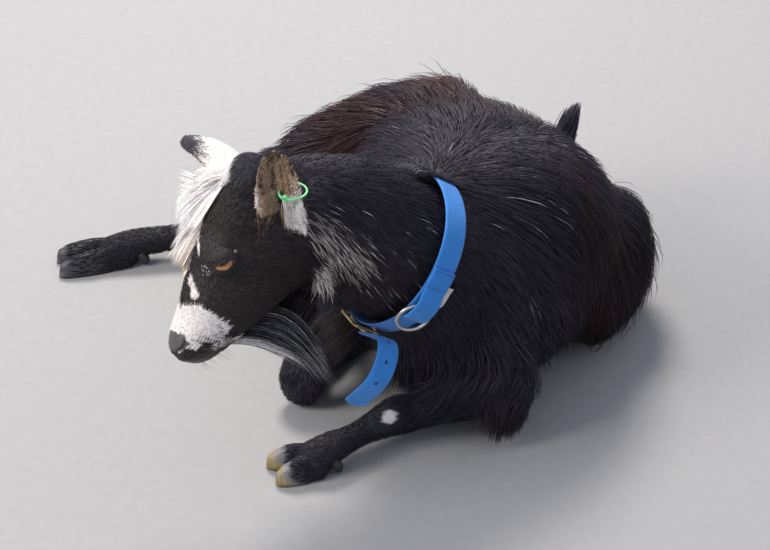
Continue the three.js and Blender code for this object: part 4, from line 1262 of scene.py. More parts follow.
mask = head_tri & (np.abs(tri_head[:, 0]) < 11) & within(tri_head[:, 1], 42, 96)
roots, up, map_at, picks = roots_in(mask & (tri_head[:, 2] < -20), 0.95)
hr = in_head(roots)
share = np.clip((hr[:, 1] - 42) / 54, 0, 1)
front = hr[:, 1] < 53
tall = np.where(front, vary(0.4, 0.85, hr), vary(0.55, 1.04, hr))
tips = np.stack((hr[:, 0] * 0.45 + dice.normal(size=len(hr)) * 2.5,
                 80 + 7 * share + 4 * dice.normal(size=len(hr)), -137 + 5 * dice.normal(size=len(hr))), 1)
middle = np.stack((hr[:, 0] * 1.3, hr[:, 1] + 36 - 12 * share, hr[:, 2] - 34 + 6 * share), 1)
points = arched(roots, up, from_head(middle), from_head(tips), 5, tall[:, None, None])
points = points + np.cumsum(dice.normal(size=points.shape) * 0.5, 1) * np.linspace(0, 1, 6)[None, :, None]
points[..., 2] = np.maximum(points[..., 2], 1.0)
points = draw_together(points, roots, 12, 0.6, 0.35)
odds = np.where(front, 0.8, 0.05 + 0.09 * step(hr[:, 1], 76, 92))
pale = (dice.uniform(size=len(hr)) < odds)[:, None]
dark = np.array((0.016, 0.017, 0.021)) * vary(0.7, 1.8, hr)[:, None]
tone = np.where(pale, WHITE * (vary(0.15, 0.6, hr) + 0.45 * front)[:, None], dark)
frosted = dark + (0.5 * step(tall, 0.86, 1.0) * (dice.uniform(size=len(hr)) < 0.7))[:, None] * WHITE
width = vary(0.5, 0.8, hr) * np.where(pale[:, 0], 0.7, 1)
beard = lay("beard_hair", points, up, width, tone, np.where(pale, tone * 1.1, frosted), map_at)
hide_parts("beard")

mask = (np.linalg.norm((tri_middle - (78, -56, 74)) / (44, 38, 44), axis=1) < 1) & (tri_up[:, 2] < 0.8)
roots, up, map_at, picks = roots_in(mask & in_parts(tri_part, "trunk", "fore_left_upper"), 0.20)
lean = 0.22 + 0.5 * step(roots[:, 0], 76, 106)
way = unit(DOWN - lean[:, None] * (1.0, 0.5, 0) + 0.2 * up + dice.normal(size=roots.shape) * 0.11)
size = vary(0.45, 1.05, roots) * 68
size = np.minimum(size, roots[:, 2] * vary(0.5, 0.94, roots) + 3)
points = sprout(roots, up, way, size, np.full(len(roots), 6.0), 4, 0.12, 0.5, 0.0, 0.07)
points = draw_together(points, roots, 18, 0.8, 0.3)
root_tone, tip_tone, _ = tones(roots, part[tris[picks, 0]])
tip_tone = tip_tone * (1.5, 1.2, 1.05)
lay("elbow_fringe", points, up, vary(0.7, 1.05, roots), root_tone, tip_tone, map_at)

# The brisket's long hair falls forward between the throat and the right forearm
mask = np.linalg.norm((tri_middle - (-88, -48, 122)) / (36, 46, 52), axis=1) < 1
mask |= np.linalg.norm((tri_middle - (-84, -172, 196)) / (24, 44, 24), axis=1) < 1
mask &= in_parts(tri_part, "trunk", "neck", "fore_right_upper") & (tri_up[:, 0] < 0.5)
roots, up, map_at, picks = roots_in(mask, 0.24)
way = unit((-0.62, -0.50, -0.52) + 0.25 * up + dice.normal(size=roots.shape) * 0.06)
size = vary(38, 68, roots)
points = sprout(roots, up, way, size, np.full(len(roots), 9.0), 4, 0.1, 0.16, 0.0, 0.05)
points = draw_together(points, roots, 16, 0.7, 0.35)
tone = np.array((0.026, 0.018, 0.019)) * vary(0.5, 1.5, roots)[:, None]
lay("brisket_hair", points, up, vary(0.7, 1.0, roots), tone * 0.7, tone * 1.3, map_at)

# The crest's hair lies back over the top of the collar
place_in = (tri_middle - COLLAR_AT) @ COLLAR.T
turned = np.degrees(np.arctan2(place_in[:, 1], place_in[:, 0]))
mask = (tri_part == PART["neck"]) & within(place_in[:, 2], 13.5, 40)
mask &= within(turned, 90, 160)
roots, up, map_at, picks = roots_in(mask, 0.34)
q = (roots - COLLAR_AT) @ COLLAR.T
at_root = np.linalg.norm(q[:, :2] / BAND_RADII, axis=1)[:, None]
k = np.linspace(0, 1, 6)[None]
over = np.maximum(at_root, 1) + vary(0.055, 0.095, q)[:, None] * step(k, 0, 0.5) - 0.02 * k
over[:, 0] = at_root[:, 0] - 0.015
q = np.repeat(q[:, None], 6, 1)
q[..., :2] = q[..., :2] * (over / at_root)[..., None]
q[..., 2] = q[..., 2] - vary(34, 60, roots)[:, None] * k
q[..., 0] = q[..., 0] + 7 * k ** 2
points = draw_together(COLLAR_AT + q @ COLLAR, roots, 14, 0.5, 0.5)
root_tone, tip_tone, _ = tones(roots, part[tris[picks, 0]])
lay("crest_hair", points, up, vary(0.6, 0.9, roots), root_tone, tip_tone, map_at)

# Loose pale hairs lie over the dark coat behind the jaw and above the wattle
jaw_line = [(-62, -199, 286), (-58, -199, 277), (-49, -194, 262), (-31, -180, 244)]
behind_jaw = near_line(tri_middle, jaw_line, 11)
by_wattle = near_line(tri_middle, [(-51, -198, 243), (-54, -208, 240)], 8)
share = np.maximum(0.15 * behind_jaw, 0.42 * by_wattle)
roots, up, map_at, picks = roots_in(behind_jaw + by_wattle > 0.1, share)
way = unit(tri_flow[picks] + dice.normal(size=roots.shape) * 0.24)
layer = vary(7, 8.8, roots) * np.where(by_wattle[picks] > 0.3, 0.35, 1)
points = sprout(roots, up, way, vary(9, 21, roots), layer, 3, 0.3, 0.1, 0.85, 0.12)
tone = WHITE * (1.0, 0.95, 0.87) * vary(0.4, 1.0, roots)[:, None]
lay("pale_hairs", points, up, vary(0.3, 0.46, roots), tone * 0.8, tone, map_at)

# Lashes over both eyes, and a few stiff whiskers on the lips
lashes = []
for s in (1, -1):
    flip, out, slit, up = eye_ways(s)
    a = np.radians(dice.uniform(-24, 46, 46))[:, None]
    b = np.radians(8 + 2 * np.cos(2 * a))
    rim = np.cos(b) * (np.cos(a) * out + np.sin(a) * slit) + np.sin(b) * up
    start = EYE_AT * flip + (EYE_RADIUS + 1.2) * rim
    heading = unit(0.75 * out - 0.28 * up + np.sin(a) * slit * 0.9 + dice.normal(size=(46, 3)) * 0.12)
    lashes.append((start, heading, np.tile(up, (46, 1)), dice.uniform(4, 6.5, 46)))
    spots = np.stack((dice.uniform(12, 25, 30) * s, dice.uniform(6, 34, 30), dice.uniform(-24, -2, 30)), 1)
    hit = [surface.find_nearest(p) for p in from_head(spots).tolist()]
    start = in_head(np.array([q[0] for q in hit]))
    out = np.array([q[1] for q in hit]) @ HEAD.T
    heading = unit(0.8 * out + (0, 0.45, -0.35) + dice.normal(size=(30, 3)) * 0.15)
    lashes.append((start, heading, out, dice.uniform(9, 20, 30)))
start, heading, up, size = columns_of(lashes, 4)
k = np.linspace(0, 1, 4)[None, :, None]
points = start[:, None] + (heading * size[:, None])[:, None] * k + np.array((0, 0, -2.0)) * k ** 2
points = from_head(points)
tone = np.tile(FACE_BROWN * 1.5, (len(start), 1)) * vary(0.5, 2.5, start)[:, None]
width = np.full(len(start), 0.26)
lay("lashes_and_whiskers", points, up @ HEAD, width, tone, tone * 1.4, map_near(points[:, 0]))

# ear: (rim low and high, root to tip low and high, hairs, kind) where the kind says how they hang
rims = {
    "ear_left": ((-1.0, -0.07, 0.10, 0.40, 1000, "tan"), (0.10, 1.0, -0.04, 0.34, 1600, "puff"),
                 (0.17, 0.5, 0.06, 0.36, 240, "tan"), (-1.0, -0.84, 0.24, 0.42, 200, "across"),
                 (0.5, 1.0, 0.3, 0.6, 150, "edge"), (-1.0, -0.85, 0.23, 0.5, 180, "edge")),
    "ear_right": ((-0.98, -0.5, 0.0, 0.4, 260, "across"), (0.5, 0.98, 0.0, 0.4, 260, "across")),
}
hairs = []
for ear, rows in rims.items():
    at, way, across, z = ear_axes(ear)
    for t_low, t_high, s_low, s_high, n, kind in rows:
        s, t = dice.uniform(s_low, s_high, n), dice.uniform(t_low, t_high, n)
        if kind == "tan":
            s = np.maximum(s, 0.10 + 0.14 * np.clip(-t - 0.1, 0, 1) + dice.uniform(-0.02, 0.04, n))
        roots = ear_point(ear, s, t, np.full(n, -1.6))
        heading = -0.5 * way + np.sign(t)[:, None] * across * 0.3 + 0.42 * z
        size, fall, spread = dice.uniform(4, 8, n), np.zeros(3), 0.25
        if kind == "puff":
            outward = 0.9 * unit(np.array((0.298, -0.428, -0.837)) @ HEAD)
            heading = np.tile(outward + 0.35 * z + 0.1 * across, (n, 1))
            size, spread = dice.uniform(7, 13, n) * (0.6 + 0.4 * step(s, 0.0, 0.2)), 0.32
            fall = 0.25 * (np.array((0.14, -0.755, -0.641)) @ HEAD)
        if kind == "tan":
            heading = -0.28 * way + np.where(within(t, -0.35, 0), -0.35, 0.3)[:, None] * across + 0.3 * z
            size = dice.uniform(4, 8, n) * np.clip(0.5 + np.abs(t), 0.5, 1)
        if kind == "edge":
            heading = 0.5 * way + np.sign(t)[:, None] * 0.5 * across + 0.2 * z
            size = dice.uniform(4, 8, n)
        heading = unit(heading + dice.normal(size=(n, 3)) * spread)
        k = np.linspace(0, 1, 4)[None, :, None]
        points = roots[:, None] + (heading * size[:, None])[:, None] * k
        points = points + (fall * size[:, None])[:, None] * k ** 2
        is_pale = (dice.uniform(size=n) < 0.35) | (kind == "puff") | ((kind == "edge") & (s < 0.4))
        is_pale = (is_pale & (kind != "tan"))[:, None]
        tone = np.where(is_pale, WHITE, CREAM * (1.25, 1.05, 0.9)) * dice.uniform(0.7, 1.15, n)[:, None]
        hairs.append((draw_together(points, roots, 9, 0.6, 0.4), np.tile(z, (n, 1)), tone, map_near(roots)))
points, up, tone, map_at = columns_of(hairs, 4)
lay("ear_tufts", points, up, vary(0.3, 0.5, points), tone * 0.85, tone, map_at)

# ---------------------------------------------------------------- eyes
# Wet amber eyeballs with a level slot for a pupil, cast clear over the iris with a low cornea, and
# set in the lids of the hide, which cover half of them.

wet, w = finish_of("eye")
place = w.place()
level = w.field("level")
upright = w.field("upright")
radius = (level * level + upright * upright).put_through("SQRT")
strands = place.noise(1500.0, 4.0, 0.7)
iris = (radius + (strands - 0.5) * 0.12).ramp(
    (0.0, (0.55, 0.24, 0.05)), (0.34, (0.66, 0.30, 0.07)), (0.62, (0.46, 0.17, 0.03)),
    (0.74, (0.07, 0.03, 0.012)), (0.82, (0.035, 0.018, 0.012)))
wide = ((level - 0.12) / 0.34).put_through("ABSOLUTE").put_through("POWER", 3.0)
tall = ((upright - 0.1) / 0.11).put_through("ABSOLUTE").put_through("POWER", 2.0)
pupil = (wide + tall).ramp((0.8, (1, 1, 1)), (1.0, (0, 0, 0)))
close(w, {
    "Base Color": pupil.mix(iris, (0.006, 0.005, 0.006)),
    "Roughness": 0.12,
    "Coat Weight": 1.0,
    "Coat Roughness": 0.03,
})

def finished(name, coords, faces, values, material, slot, *nodes):
    """A smooth piece with fields of values, one material, and the nodes it stands for."""
    piece = made(name, to_row(coords), faces)
    for field_name, field_values in values.items():
        write_field(piece.data, field_name, field_values)
    piece.data.materials.append(material)
    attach(piece, "root")
    if nodes:
        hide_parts(*nodes)
    return piece


for s, eye in ((1, "eye_left"), (-1, "eye_right")):
    flip, out, slit, up = eye_ways(s)
    rings, around = 40, 64
    polar = np.linspace(0, np.pi, rings + 2)[1:-1]
    turns = full_turn(around)
    d = (np.cos(polar)[:, None, None] * out + np.sin(polar)[:, None, None] * (
        np.cos(turns)[None, :, None] * slit + np.sin(turns)[None, :, None] * up)).reshape(-1, 3)
    d = np.concatenate((d, [out, -out]))
    cornea = 0.55 * step(d @ out, 0.55, 0.95)
    coords = from_head(EYE_AT * flip + d * (EYE_RADIUS + cornea - 0.1)[:, None])
    faces = tube(rings, around, "tips")
    faces = [tuple(reversed(f)) for f in faces] if s > 0 else faces
    finished(eye + "_ball", coords, faces, {"level": d @ slit, "upright": d @ up}, wet, "eye", eye)

# ---------------------------------------------------------------- hooves
# Each foot ends in two horn claws, grown dark under the short hair of the coronet and worn to a paler
# grey and tan at the toe, and carries two small dewclaws behind the fetlock.

horn, w = finish_of("horn")
place = w.place()
growth = w.field("growth")
worn = w.field("worn")
cloud = place.noise(120.0, 5.0, 0.6)
fine = place.noise(700.0, 4.0, 0.7)
band = ((growth + cloud * 3.0) * 2.6).put_through("SINE")
shade = (worn + (cloud - 0.5) * 0.7 + band * 0.05).ramp(
    (0.0, (0.020, 0.019, 0.020)), (0.34, (0.050, 0.050, 0.056)), (0.54, (0.17, 0.17, 0.18)),
    (0.70, (0.27, 0.21, 0.11)), (0.97, (0.20, 0.15, 0.07)))
close(w, {
    "Base Color": shade.times(fine.mix((0.6, 0.6, 0.6), (1.35, 1.33, 1.3))),
    "Roughness": 0.62 - cloud * 0.3,
    "Normal": (band * 0.16 + fine * 0.7).bump(0.5, 0.0005),
})

HAIRED = {"hind_right": 0.84, "fore_left": 0.5, "fore_right": 0.55, "hind_left": 0.55}  # share of the claw
TOE_HAIRS = 280
toe_hairs = []
for leg, (fetlock, coronet, toe) in legs.items():
    fetlock, coronet, toe = (np.array(v, float) for v in (fetlock, coronet, toe))
    toward = unit((toe - coronet) * (1, 1, 0))
    aside = np.cross((0, 0, 1), toward)
    back_toward = unit((coronet - fetlock) * (1, 1, 0))
    back_aside = np.cross((0, 0, 1), back_toward)
    for letter, s in (("a", 1), ("b", -1)):
        rows = []
        blunt = 0.78 if (leg, letter) == ("fore_left", "a") else 0.96
        for share, half, tall, square in (
            (0.1, 8.4, 26, 0.85), (0.3, 9.0, 25.5, 0.8), (0.5, 9.2, 24, 0.8), (0.7, 8.9, 21.5, 0.78),
            (0.88, 8.2, 18.5, 0.78), (1.0, 6.6, 15.5, 0.82),
        ):
            share = share * blunt
            spot = (coronet + share * (toe - coronet)) * (1, 1, 0) + aside * s * (10 + 5 * share)
            rows.append((spot, (half, tall, 6), (0, 0, 1), square))
        coords, faces, _ = loft(rows, (3, 5), 0, 40, 40)
        inner = ((coords - (coronet * (1, 1, 0))) @ aside) * s
        coords = coords + (np.maximum(1.2 - inner, 0) * s)[:, None] * aside
        run = (coords - coronet * (1, 1, 0)) @ toward
        down = 27 - coords[:, 2]
        bulge = 0.10 * np.sin((run * 0.7 + down * 0.5) * 0.9)  # low ridges of growth
        middle = np.array([r[0] for r in rows]).mean(0)
        coords = coords + unit((coords - middle) * (1, 1, 1)) * (bulge * step(coords[:, 2], 1, 4))[:, None]
        coords[:, 2] = np.maximum(coords[:, 2], 0.0)
        long = np.linalg.norm(toe - coronet)
        # The hind right claws keep less of the pale toe colour and stay darker.
        toe_pale_share = 0.36 if leg == "hind_right" else 1.0
        edge = toe_pale_share * np.clip(0.75 * run / (long * blunt) - 0.05 + 0.35 * step(coords[:, 2], 12, 0), 0, 1)
        node = f"claw_{leg}_{letter}"
        values = {"growth": run * 0.7 + down * 0.5, "worn": edge}
        finished(node + "_horn", coords, faces, values, horn, "horn", node)
        over_horn = BVHTree.FromPolygons(coords.tolist(), faces)
        haired = np.where((run < HAIRED[leg] * long * blunt) & (coords[:, 2] > 2))[0]
        roots = coords[dice.choice(haired, TOE_HAIRS)] + dice.normal(size=(TOE_HAIRS, 3)) * 0.8
        heading = unit(toward + dice.normal(size=(TOE_HAIRS, 3)) * 0.16)
        size = dice.uniform(6, 12, TOE_HAIRS)
        points = []
        for k in range(3):
            at_step = roots + heading * (size * (k / 2 - 0.25))[:, None]
            found = [over_horn.find_nearest(q) for q in at_step.tolist()]
            place, out = (np.array([f[j] for f in found]) for j in (0, 1))
            points.append(place + out * (0.1 + 0.4 * k))
        toe_hairs.append((np.stack(points, 1), out))
        at = fetlock + back_aside * s * 11 - back_toward * 3
        spur = [(at * (1, 1, 0) + (0, 0, z) - back_toward * lean, (r, r * 1.1, r * 1.1), back_toward, 0.95)
                for z, lean, r in ((14, -3, 4.2), (10.5, 0, 4.8), (6.5, 1.5, 4.2), (3.6, 2.2, 2.8))]
        coords, faces, _ = loft(spur, (3, 2), 0, 24, 20)
        coords[:, 2] = np.maximum(coords[:, 2], 0.0)
        node = f"dewclaw_{leg}_{letter}"
        values = {"growth": coords[:, 2], "worn": 0.06 - coords[:, 2] / 90}
        finished(node + "_horn", coords, faces, values, horn, "horn", node)

# Short hair runs down over the horn from the coronet
points, up = columns_of(toe_hairs, 2)
points[..., 2] = np.maximum(points[..., 2], 0.4)
tone = SHEEN_BLUE_BLACK * vary(0.25, 0.8, points)[:, None]
width = vary(0.6, 0.9, points)
lay("coronet_hair", points, up, width, tone * 0.8, tone * 1.2, map_near(points[:, 0]))

# ---------------------------------------------------------------- collar webbing
# A flat band of blue ribbed webbing, 25 mm wide, folded back over its ring and sewn down. Its free
# end comes out of the buckle, stands off the band, and hangs with three punched holes.

webbing, w = finish_of("webbing")
place = w.place()
run = w.field("run")
cross = w.field("cross")
RIB, WARP, SELVAGE = 1.3, 0.85, 11.2  # spacing of the weave, and where its plain edge starts
rib = (run * (math.pi / RIB)).put_through("SINE")
warp = (cross * (math.pi / WARP)).put_through("SINE")
rib, warp = rib * rib, warp * warp
selvage = (cross.put_through("ABSOLUTE") - SELVAGE).kept()
grime = place.noise(55.0, 5.0, 0.6)
fuzz = place.noise(1700.0, 3.0, 0.7)
blue = (rib * 0.6 + warp * 0.25 + fuzz * 0.3).kept().mix((0.010, 0.155, 0.55), (0.028, 0.34, 0.92))
blue = (grime * 0.9 + 0.1).kept().mix((0.62, 0.62, 0.62), (1.12, 1.12, 1.1)).times(blue)
close(w, {
    "Base Color": (selvage * 0.5).mix(blue, (0.05, 0.26, 0.70)),
    "Roughness": 0.78 - rib * 0.16,
    "Sheen Weight": 0.25,
    "Sheen Roughness": 0.4,
    "Normal": (rib * 1.0 + warp * 0.35 + fuzz * 0.35).bump(0.8, 0.0005),
})


def band_point(angle, height):
    """Points round the band, in the collar's own frame, at a height over its inner face."""
    angle, height = np.broadcast_arrays(np.radians(angle), np.asarray(height, float))
    c, s = np.cos(angle), np.sin(angle)
    out = unit(np.stack((c / BAND_RADII[0], s / BAND_RADII[1], 0 * c), -1))
    return np.stack((BAND_RADII[0] * c, BAND_RADII[1] * s, 0 * c), -1) + out * height[..., None], out


def on_collar(q):
    return COLLAR_AT + np.asarray(q, float) @ COLLAR


def strap(path, outs, wide, thick, looped=False, tip=0.0, shift=0.0):
    """A flat strap along a path: its edges are rounded, and tip rounds off the corners of its end."""
    n = len(path)
    runs = np.concatenate(([0], np.cumsum(np.linalg.norm(np.diff(path, axis=0), axis=1))))
    half, edge = thick / 2, thick * 0.42
    across = np.concatenate((np.linspace(-1, 1, 13), np.linspace(1, -1, 13)))
    level = np.concatenate((np.ones(13), -np.ones(13)))
    inset = np.where(np.abs(across) > 0.99, edge * 0.8, 0)
    rings = []
    for k in range(n):
        left_over = runs[-1] - runs[k]
        spread = wide / 2
        if tip and left_over < tip:
            spread = spread * math.sqrt(max(1 - (1 - left_over / tip) ** 2.2, 0.02))
        flat = across * spread
        thickness = np.outer(level * (half - inset), outs[k])
        rings.append(path[k] + thickness + np.outer(flat + shift, (0, 0, 1)))
    coords = np.array(rings).reshape(-1, 3)
    around = 26
    faces = tube(n, around, "ring" if looped else "open")
    for base in () if looped else (0, (n - 1) * around):
        for k in range(12):
            face = (base + k, base + 25 - k, base + 24 - k, base + k + 1)
            faces.append(tuple(reversed(face)) if base else face)
    return coords, faces, np.repeat(runs, around)


def facing_out(piece):
    """Turns the piece's faces outward."""
    mesh = bmesh.new()
    mesh.from_mesh(piece.data)
    bmesh.ops.recalc_face_normals(mesh, faces=mesh.faces)
    mesh.to_mesh(piece.data)
    mesh.free()
    return piece


def solid(name, coords, faces, values, material, slot, *nodes):
    """A piece in the collar's own frame, with its faces turned outward."""
    return facing_out(finished(name, on_collar(coords), faces, values, material, slot, *nodes))


def webbing_piece(node, path, outs, **kind):
    coords, faces, runs = strap(path, outs, BAND_WIDTH, BAND_THICK, **kind)
    solid(node + "_webbing", coords, faces, {"run": runs, "cross": coords[:, 2]}, webbing, "webbing", node)


UP = np.array((0, 0, 1.0))  # across the band, in the collar's own frame
ON_BAND = BAND_THICK + 0.3  # the band's outer face, with a hair's gap
angles = np.linspace(0, 360, 300, endpoint=False)
path, outs = band_point(angles, 1.2 + 0.25 * np.sin(np.radians(angles * 3)) ** 2 - 0.12)
webbing_piece("collar_band", path, outs, looped=True)

# (degrees round the collar, height over the band) of the fold, where it goes round the ring
fold = [(12, 0), (6, 0), (0, 0), (-5, 0.5), (-9, 2.8), (-13, 5), (-20, 5.4), (-26, 4.6), (-30, 1.5)]
bends = through(fold, np.linspace(0, 1, 90))
path, outs = band_point(bends[:, 0], ON_BAND + BAND_THICK / 2 + np.maximum(bends[:, 1], 0))
webbing_piece("collar_fold", path, outs)

hang = np.array([(21, -84), (34, -78), (47, -73), (58, -79), (66, -93), (67, -112), (57, -136)], float)
hang = np.column_stack((hang, 0 * hang[:, 0]))
path = through(hang, np.linspace(0, 1, 150))
tip_way = unit(path[-1] - path[-2])
path = np.concatenate((path, path[-1] + tip_way * np.linspace(0.6, 6.8, 12)[:, None]))
outs = unit(np.cross(np.gradient(path, axis=0), (0, 0, 1)))
coords, faces, runs = strap(path, outs, BAND_WIDTH, BAND_THICK, tip=5)
end = facing_out(made("strap_blank", to_row(on_collar(coords)), faces))
HOLE_RADIUS, CUT_DEPTH = 2.2, 5
for share in (2.4 / 6, 3.7 / 6, 4.9 / 6):
    spot = through(hang, np.array([share]))[0]
    out = outs[int(round(share * 149))]
    turns = full_turn(24)[:, None]
    circle = spot + HOLE_RADIUS * (np.cos(turns) * unit(np.cross(out, (0, 0, 1))) + np.sin(turns) * UP)
    cut = out * CUT_DEPTH
    punch = np.concatenate((circle - cut, circle + cut, [spot - cut, spot + cut]))
    cutter = facing_out(made("punch", to_row(on_collar(punch)), tube(2, 24, "tips")))
    hole = end.modifiers.new("hole", "BOOLEAN")
    hole.object, hole.operation, hole.solver = cutter, "DIFFERENCE", "MANIFOLD"
mesh = shown(end)
cut = (from_row(coords_of(mesh)) - COLLAR_AT) @ COLLAR.T
nearest = finder_of(path)
path_runs = np.concatenate(([0], np.cumsum(np.linalg.norm(np.diff(path, axis=0), axis=1))))
runs = path_runs[[nearest.find(p)[1] for p in (cut * (1, 1, 0)).tolist()]]
cut_faces = [tuple(p.vertices) for p in mesh.polygons]
values = {"run": runs, "cross": cut[:, 2]}
strap_end = finished("collar_strap_webbing", on_collar(cut), cut_faces, values, webbing, "webbing",
                     "collar_strap_end")
strap_end.data.set_sharp_from_angle(angle=math.radians(50))
for spare in [o for o in bpy.data.objects if o.name.startswith(("strap_blank", "punch"))]:
    bpy.data.objects.remove(spare)

# Short stitches of darker thread hold the fold down
thread, w = finish_of("thread")
place = w.place()
twist = place.noise(1400.0, 3.0)
close(w, {"Base Color": twist.mix((0.008, 0.05, 0.22), (0.03, 0.16, 0.50)), "Roughness": 0.6,
          "Normal": twist.bump(0.6, 0.0003)})
STITCH_HALF, THREAD_HALF = 1.1, 0.42
stitches, stitch_faces = [], []
rows_sewn = [(angle, z, "across") for angle in (10.5, -1.5) for z in np.arange(-10.6, 10.7, 2.65)]
rows_sewn += [(angle, z, "along") for z in (-10.9, 10.9) for angle in np.arange(8.9, -1.4, -2.25)]
for angle, z, lie in rows_sewn:
    spot, out = band_point(angle, ON_BAND + BAND_THICK + 0.05)
    along = np.cross((0, 0, 1), out) if lie == "along" else UP
    aside = np.cross(out, along)
    polar, turns = np.meshgrid(np.linspace(0.25, np.pi - 0.25, 6), full_turn(8), indexing="ij")
    knot = (np.cos(polar)[..., None] * along * STITCH_HALF + np.sin(polar)[..., None] * (
        np.cos(turns)[..., None] * aside + np.sin(turns)[..., None] * out) * THREAD_HALF).reshape(-1, 3)
    knot = np.concatenate((knot, [along * STITCH_HALF, -along * STITCH_HALF])) + spot + (0, 0, z)
    stitch_faces += [tuple(i + len(knot) * len(stitches) for i in f) for f in tube(6, 8, "tips")]
    stitches.append(knot)
solid("collar_stitches", np.concatenate(stitches), stitch_faces, {}, thread, "webbing")

# ---------------------------------------------------------------- label
# A small blank tab woven in pale thread. It is sewn in under the fold, and its free edge stands out
# beside the band.

woven, w = finish_of("label")
place = w.place()
run = w.field("run")
cross = w.field("cross")
weft = (run * 9.0).put_through("SINE") * (cross * 9.0).put_through("SINE")
dust = place.noise(140.0, 4.0)
close(w, {
    "Base Color": (dust * 0.7 + weft * 0.15).kept().mix((0.52, 0.50, 0.46), (0.82, 0.81, 0.78)),
    "Roughness": 0.82,
    "Normal": weft.bump(0.5, 0.0003),
})
bends = np.linspace(-14, 2, 34)
path, outs = band_point(bends, 1.95 + 0.5 * np.sin(np.linspace(0, 7, 34)))
TAB_WIDTH, TAB_THICK = 7, 0.9
coords, faces, runs = strap(path, outs, TAB_WIDTH, TAB_THICK, shift=-BAND_WIDTH / 2 - TAB_WIDTH / 2 - 0.3)
values = {"run": runs, "cross": coords[:, 2]}
solid("collar_label_tab", coords, faces, values, woven, "label", "collar_label")

# ---------------------------------------------------------------- ring and buckle
# A round welded ring whose nickel has worn through to copper on one side, and a square brass buckle
# of round bar with a pin across it.


def rod(path, radius, around=20, looped=True):
    """A round bar along a path, closed in a loop or with rounded ends."""
    n = len(path)
    ahead = unit(np.roll(path, -1, 0) - np.roll(path, 1, 0)) if looped else unit(np.gradient(path, axis=0))
    normal = np.cross(ahead[0], (0.31, 0.52, 0.79))
    turns = full_turn(around)[:, None]
    middle, rings = path.mean(0), []
    plane = unit(np.cross(path[0] - middle, path[n // 4] - middle)) if looped else None
    for k in range(n):
        normal = plane if looped else unit(normal - (normal @ ahead[k]) * ahead[k])
        other = np.cross(ahead[k], normal)
        from_end = min(k, n - 1 - k) / 3
        size = radius if looped else radius * math.sqrt(max(1 - max(1 - from_end, 0) ** 2, 0.02))
        rings.append(path[k] + size * (np.cos(turns) * normal + np.sin(turns) * other))
    coords = np.array(rings).reshape(-1, 3)
    if looped:
        return coords, tube(n, around, "ring")
    return np.concatenate((coords, [path[0], path[-1]])), tube(n, around, "tips")


metals = {}
for name, low_tone, high_tone, patches in (
    ("nickel", (0.52, 0.30, 0.17), (0.66, 0.64, 0.60), 38.0),
    ("brass", (0.34, 0.24, 0.13), (0.62, 0.47, 0.25), 60.0),
):
    metals[name], w = finish_of(name)
    place = w.place()
    wear = place.noise(patches, 5.0, 0.6)
    scratch = place.noise(900.0, 4.0, 0.7)
    plate = (wear * 6.0 - 2.4).kept().mix(low_tone, high_tone)
    close(w, {
        "Base Color": plate.times(scratch.mix((0.75, 0.75, 0.75), (1.1, 1.1, 1.1))),
        "Metallic": 1.0,
        "Roughness": 0.2 + scratch * 0.3,
        "Normal": scratch.bump(0.25, 0.0002),
    })

RING_RADIUS, RING_BAR = 16, 1.8
held, out = band_point(-21, ON_BAND + RING_BAR + 0.3)
down = np.cross(out, UP)
centre = held + down * math.sqrt(RING_RADIUS ** 2 - (BAND_WIDTH / 2) ** 2)
turns = full_turn(120)[:, None]
coords, faces = rod(centre + RING_RADIUS * (np.cos(turns) * down + np.sin(turns) * UP), RING_BAR)
weld = np.linalg.norm(coords - centre - RING_RADIUS * UP, axis=1)
coords = coords + (coords - centre) * (0.022 * np.exp(-((weld / 2.6) ** 2)))[:, None]
solid("collar_ring_bar", coords, faces, {}, metals["nickel"], "nickel", "collar_ring")

BUCKLE_HALF, BUCKLE_BAR, PIN_BAR = 15.4, 1.6, 1.3
at, out = band_point(-90, ON_BAND + BUCKLE_BAR + 0.3)
turns = full_turn(160)
square = np.stack((np.sign(np.cos(turns)) * np.abs(np.cos(turns)) ** 0.28, 0 * turns,
                   np.sign(np.sin(turns)) * np.abs(np.sin(turns)) ** 0.28), 1) * BUCKLE_HALF
coords, faces = rod(at + square, BUCKLE_BAR)
solid("buckle_frame_bar", coords, faces, {}, metals["brass"], "brass", "buckle_frame")

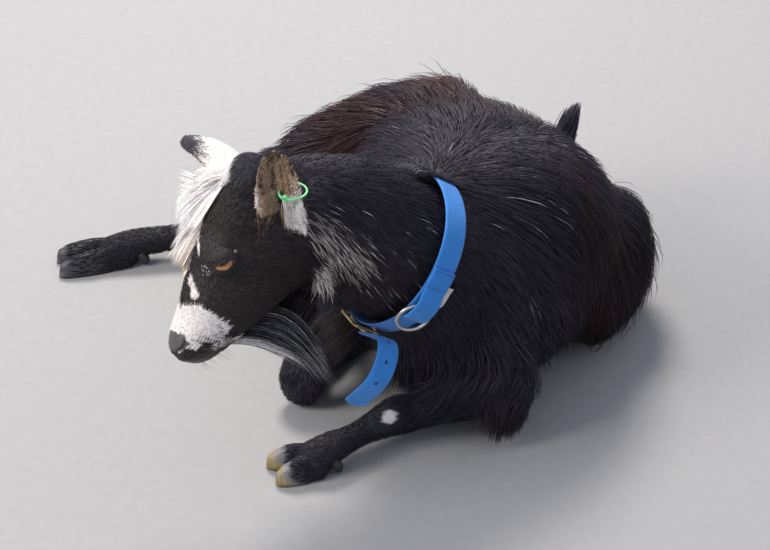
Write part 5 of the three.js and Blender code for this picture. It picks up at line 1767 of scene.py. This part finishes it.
at, out = band_point(-90, BAND_THICK + 0.6 + 2 * BUCKLE_BAR + 1.9)
x = np.linspace(-17, 16.4, 50)
bent = -1.0 * np.sin(np.linspace(0, np.pi, 50)) + 1.2 * step(x, 11, 17)
coords, faces = rod(at + np.stack((x, bent, 0 * x), 1), PIN_BAR, looped=False)
solid("buckle_pin_bar", coords, faces, {}, metals["brass"], "brass", "buckle_pin")

# ---------------------------------------------------------------- ear ring
# A thin loop of pale green plastic cord through a hole near the rim of the left ear. Its ends are
# closed with a small knot of two turns, and one end sticks out.

plastic, w = finish_of("green_plastic")
place = w.place()
haze = place.noise(300.0, 3.0)
close(w, {
    "Base Color": haze.mix((0.10, 0.52, 0.18), (0.30, 0.82, 0.36)),
    "Roughness": 0.38,
    "Subsurface Weight": 0.1,
    "Subsurface Radius": (0.002, 0.004, 0.002),
    "Normal": haze.bump(0.25, 0.0003),
})
at, way, across, z = ear_axes("ear_left")
centre = ear_point("ear_left", np.array([0.37]), np.array([0.6]), np.array([0.0]))[0]
LOOP_RADIUS, LOOP_CORD = 12.5, 1.1
turns = full_turn(110)[:, None]
wobble = LOOP_RADIUS + 0.25 * np.sin(3 * turns)
loop_coords, loop_faces = rod(centre + wobble * (np.cos(turns) * across + np.sin(turns) * z), LOOP_CORD, 14)
knot_at = centre + (LOOP_RADIUS - 0.1) * unit(-0.6 * across + 0.8 * z)
turns = np.linspace(0, 4 * np.pi, 60)[:, None]
twist_path = knot_at + 1.9 * (np.cos(turns) * unit(0.8 * across + 0.6 * z) + np.sin(turns) * way) + (
    turns / 12.6 - 0.5) * 3.4 * unit(-0.6 * across + 0.8 * z)
end_path = twist_path[-1] + np.linspace(0, 7, 14)[:, None] * unit(way * 0.6 - across * 0.5 + 0.3 * z)
knot_coords, knot_faces = rod(np.concatenate((twist_path, end_path[1:])), 0.95, 12, looped=False)
coords = np.concatenate((loop_coords, knot_coords))
faces = loop_faces + [tuple(i + len(loop_coords) for i in f) for f in knot_faces]
facing_out(finished("ear_ring_loop", coords, faces, {}, plastic, "green_plastic", "ear_ring"))
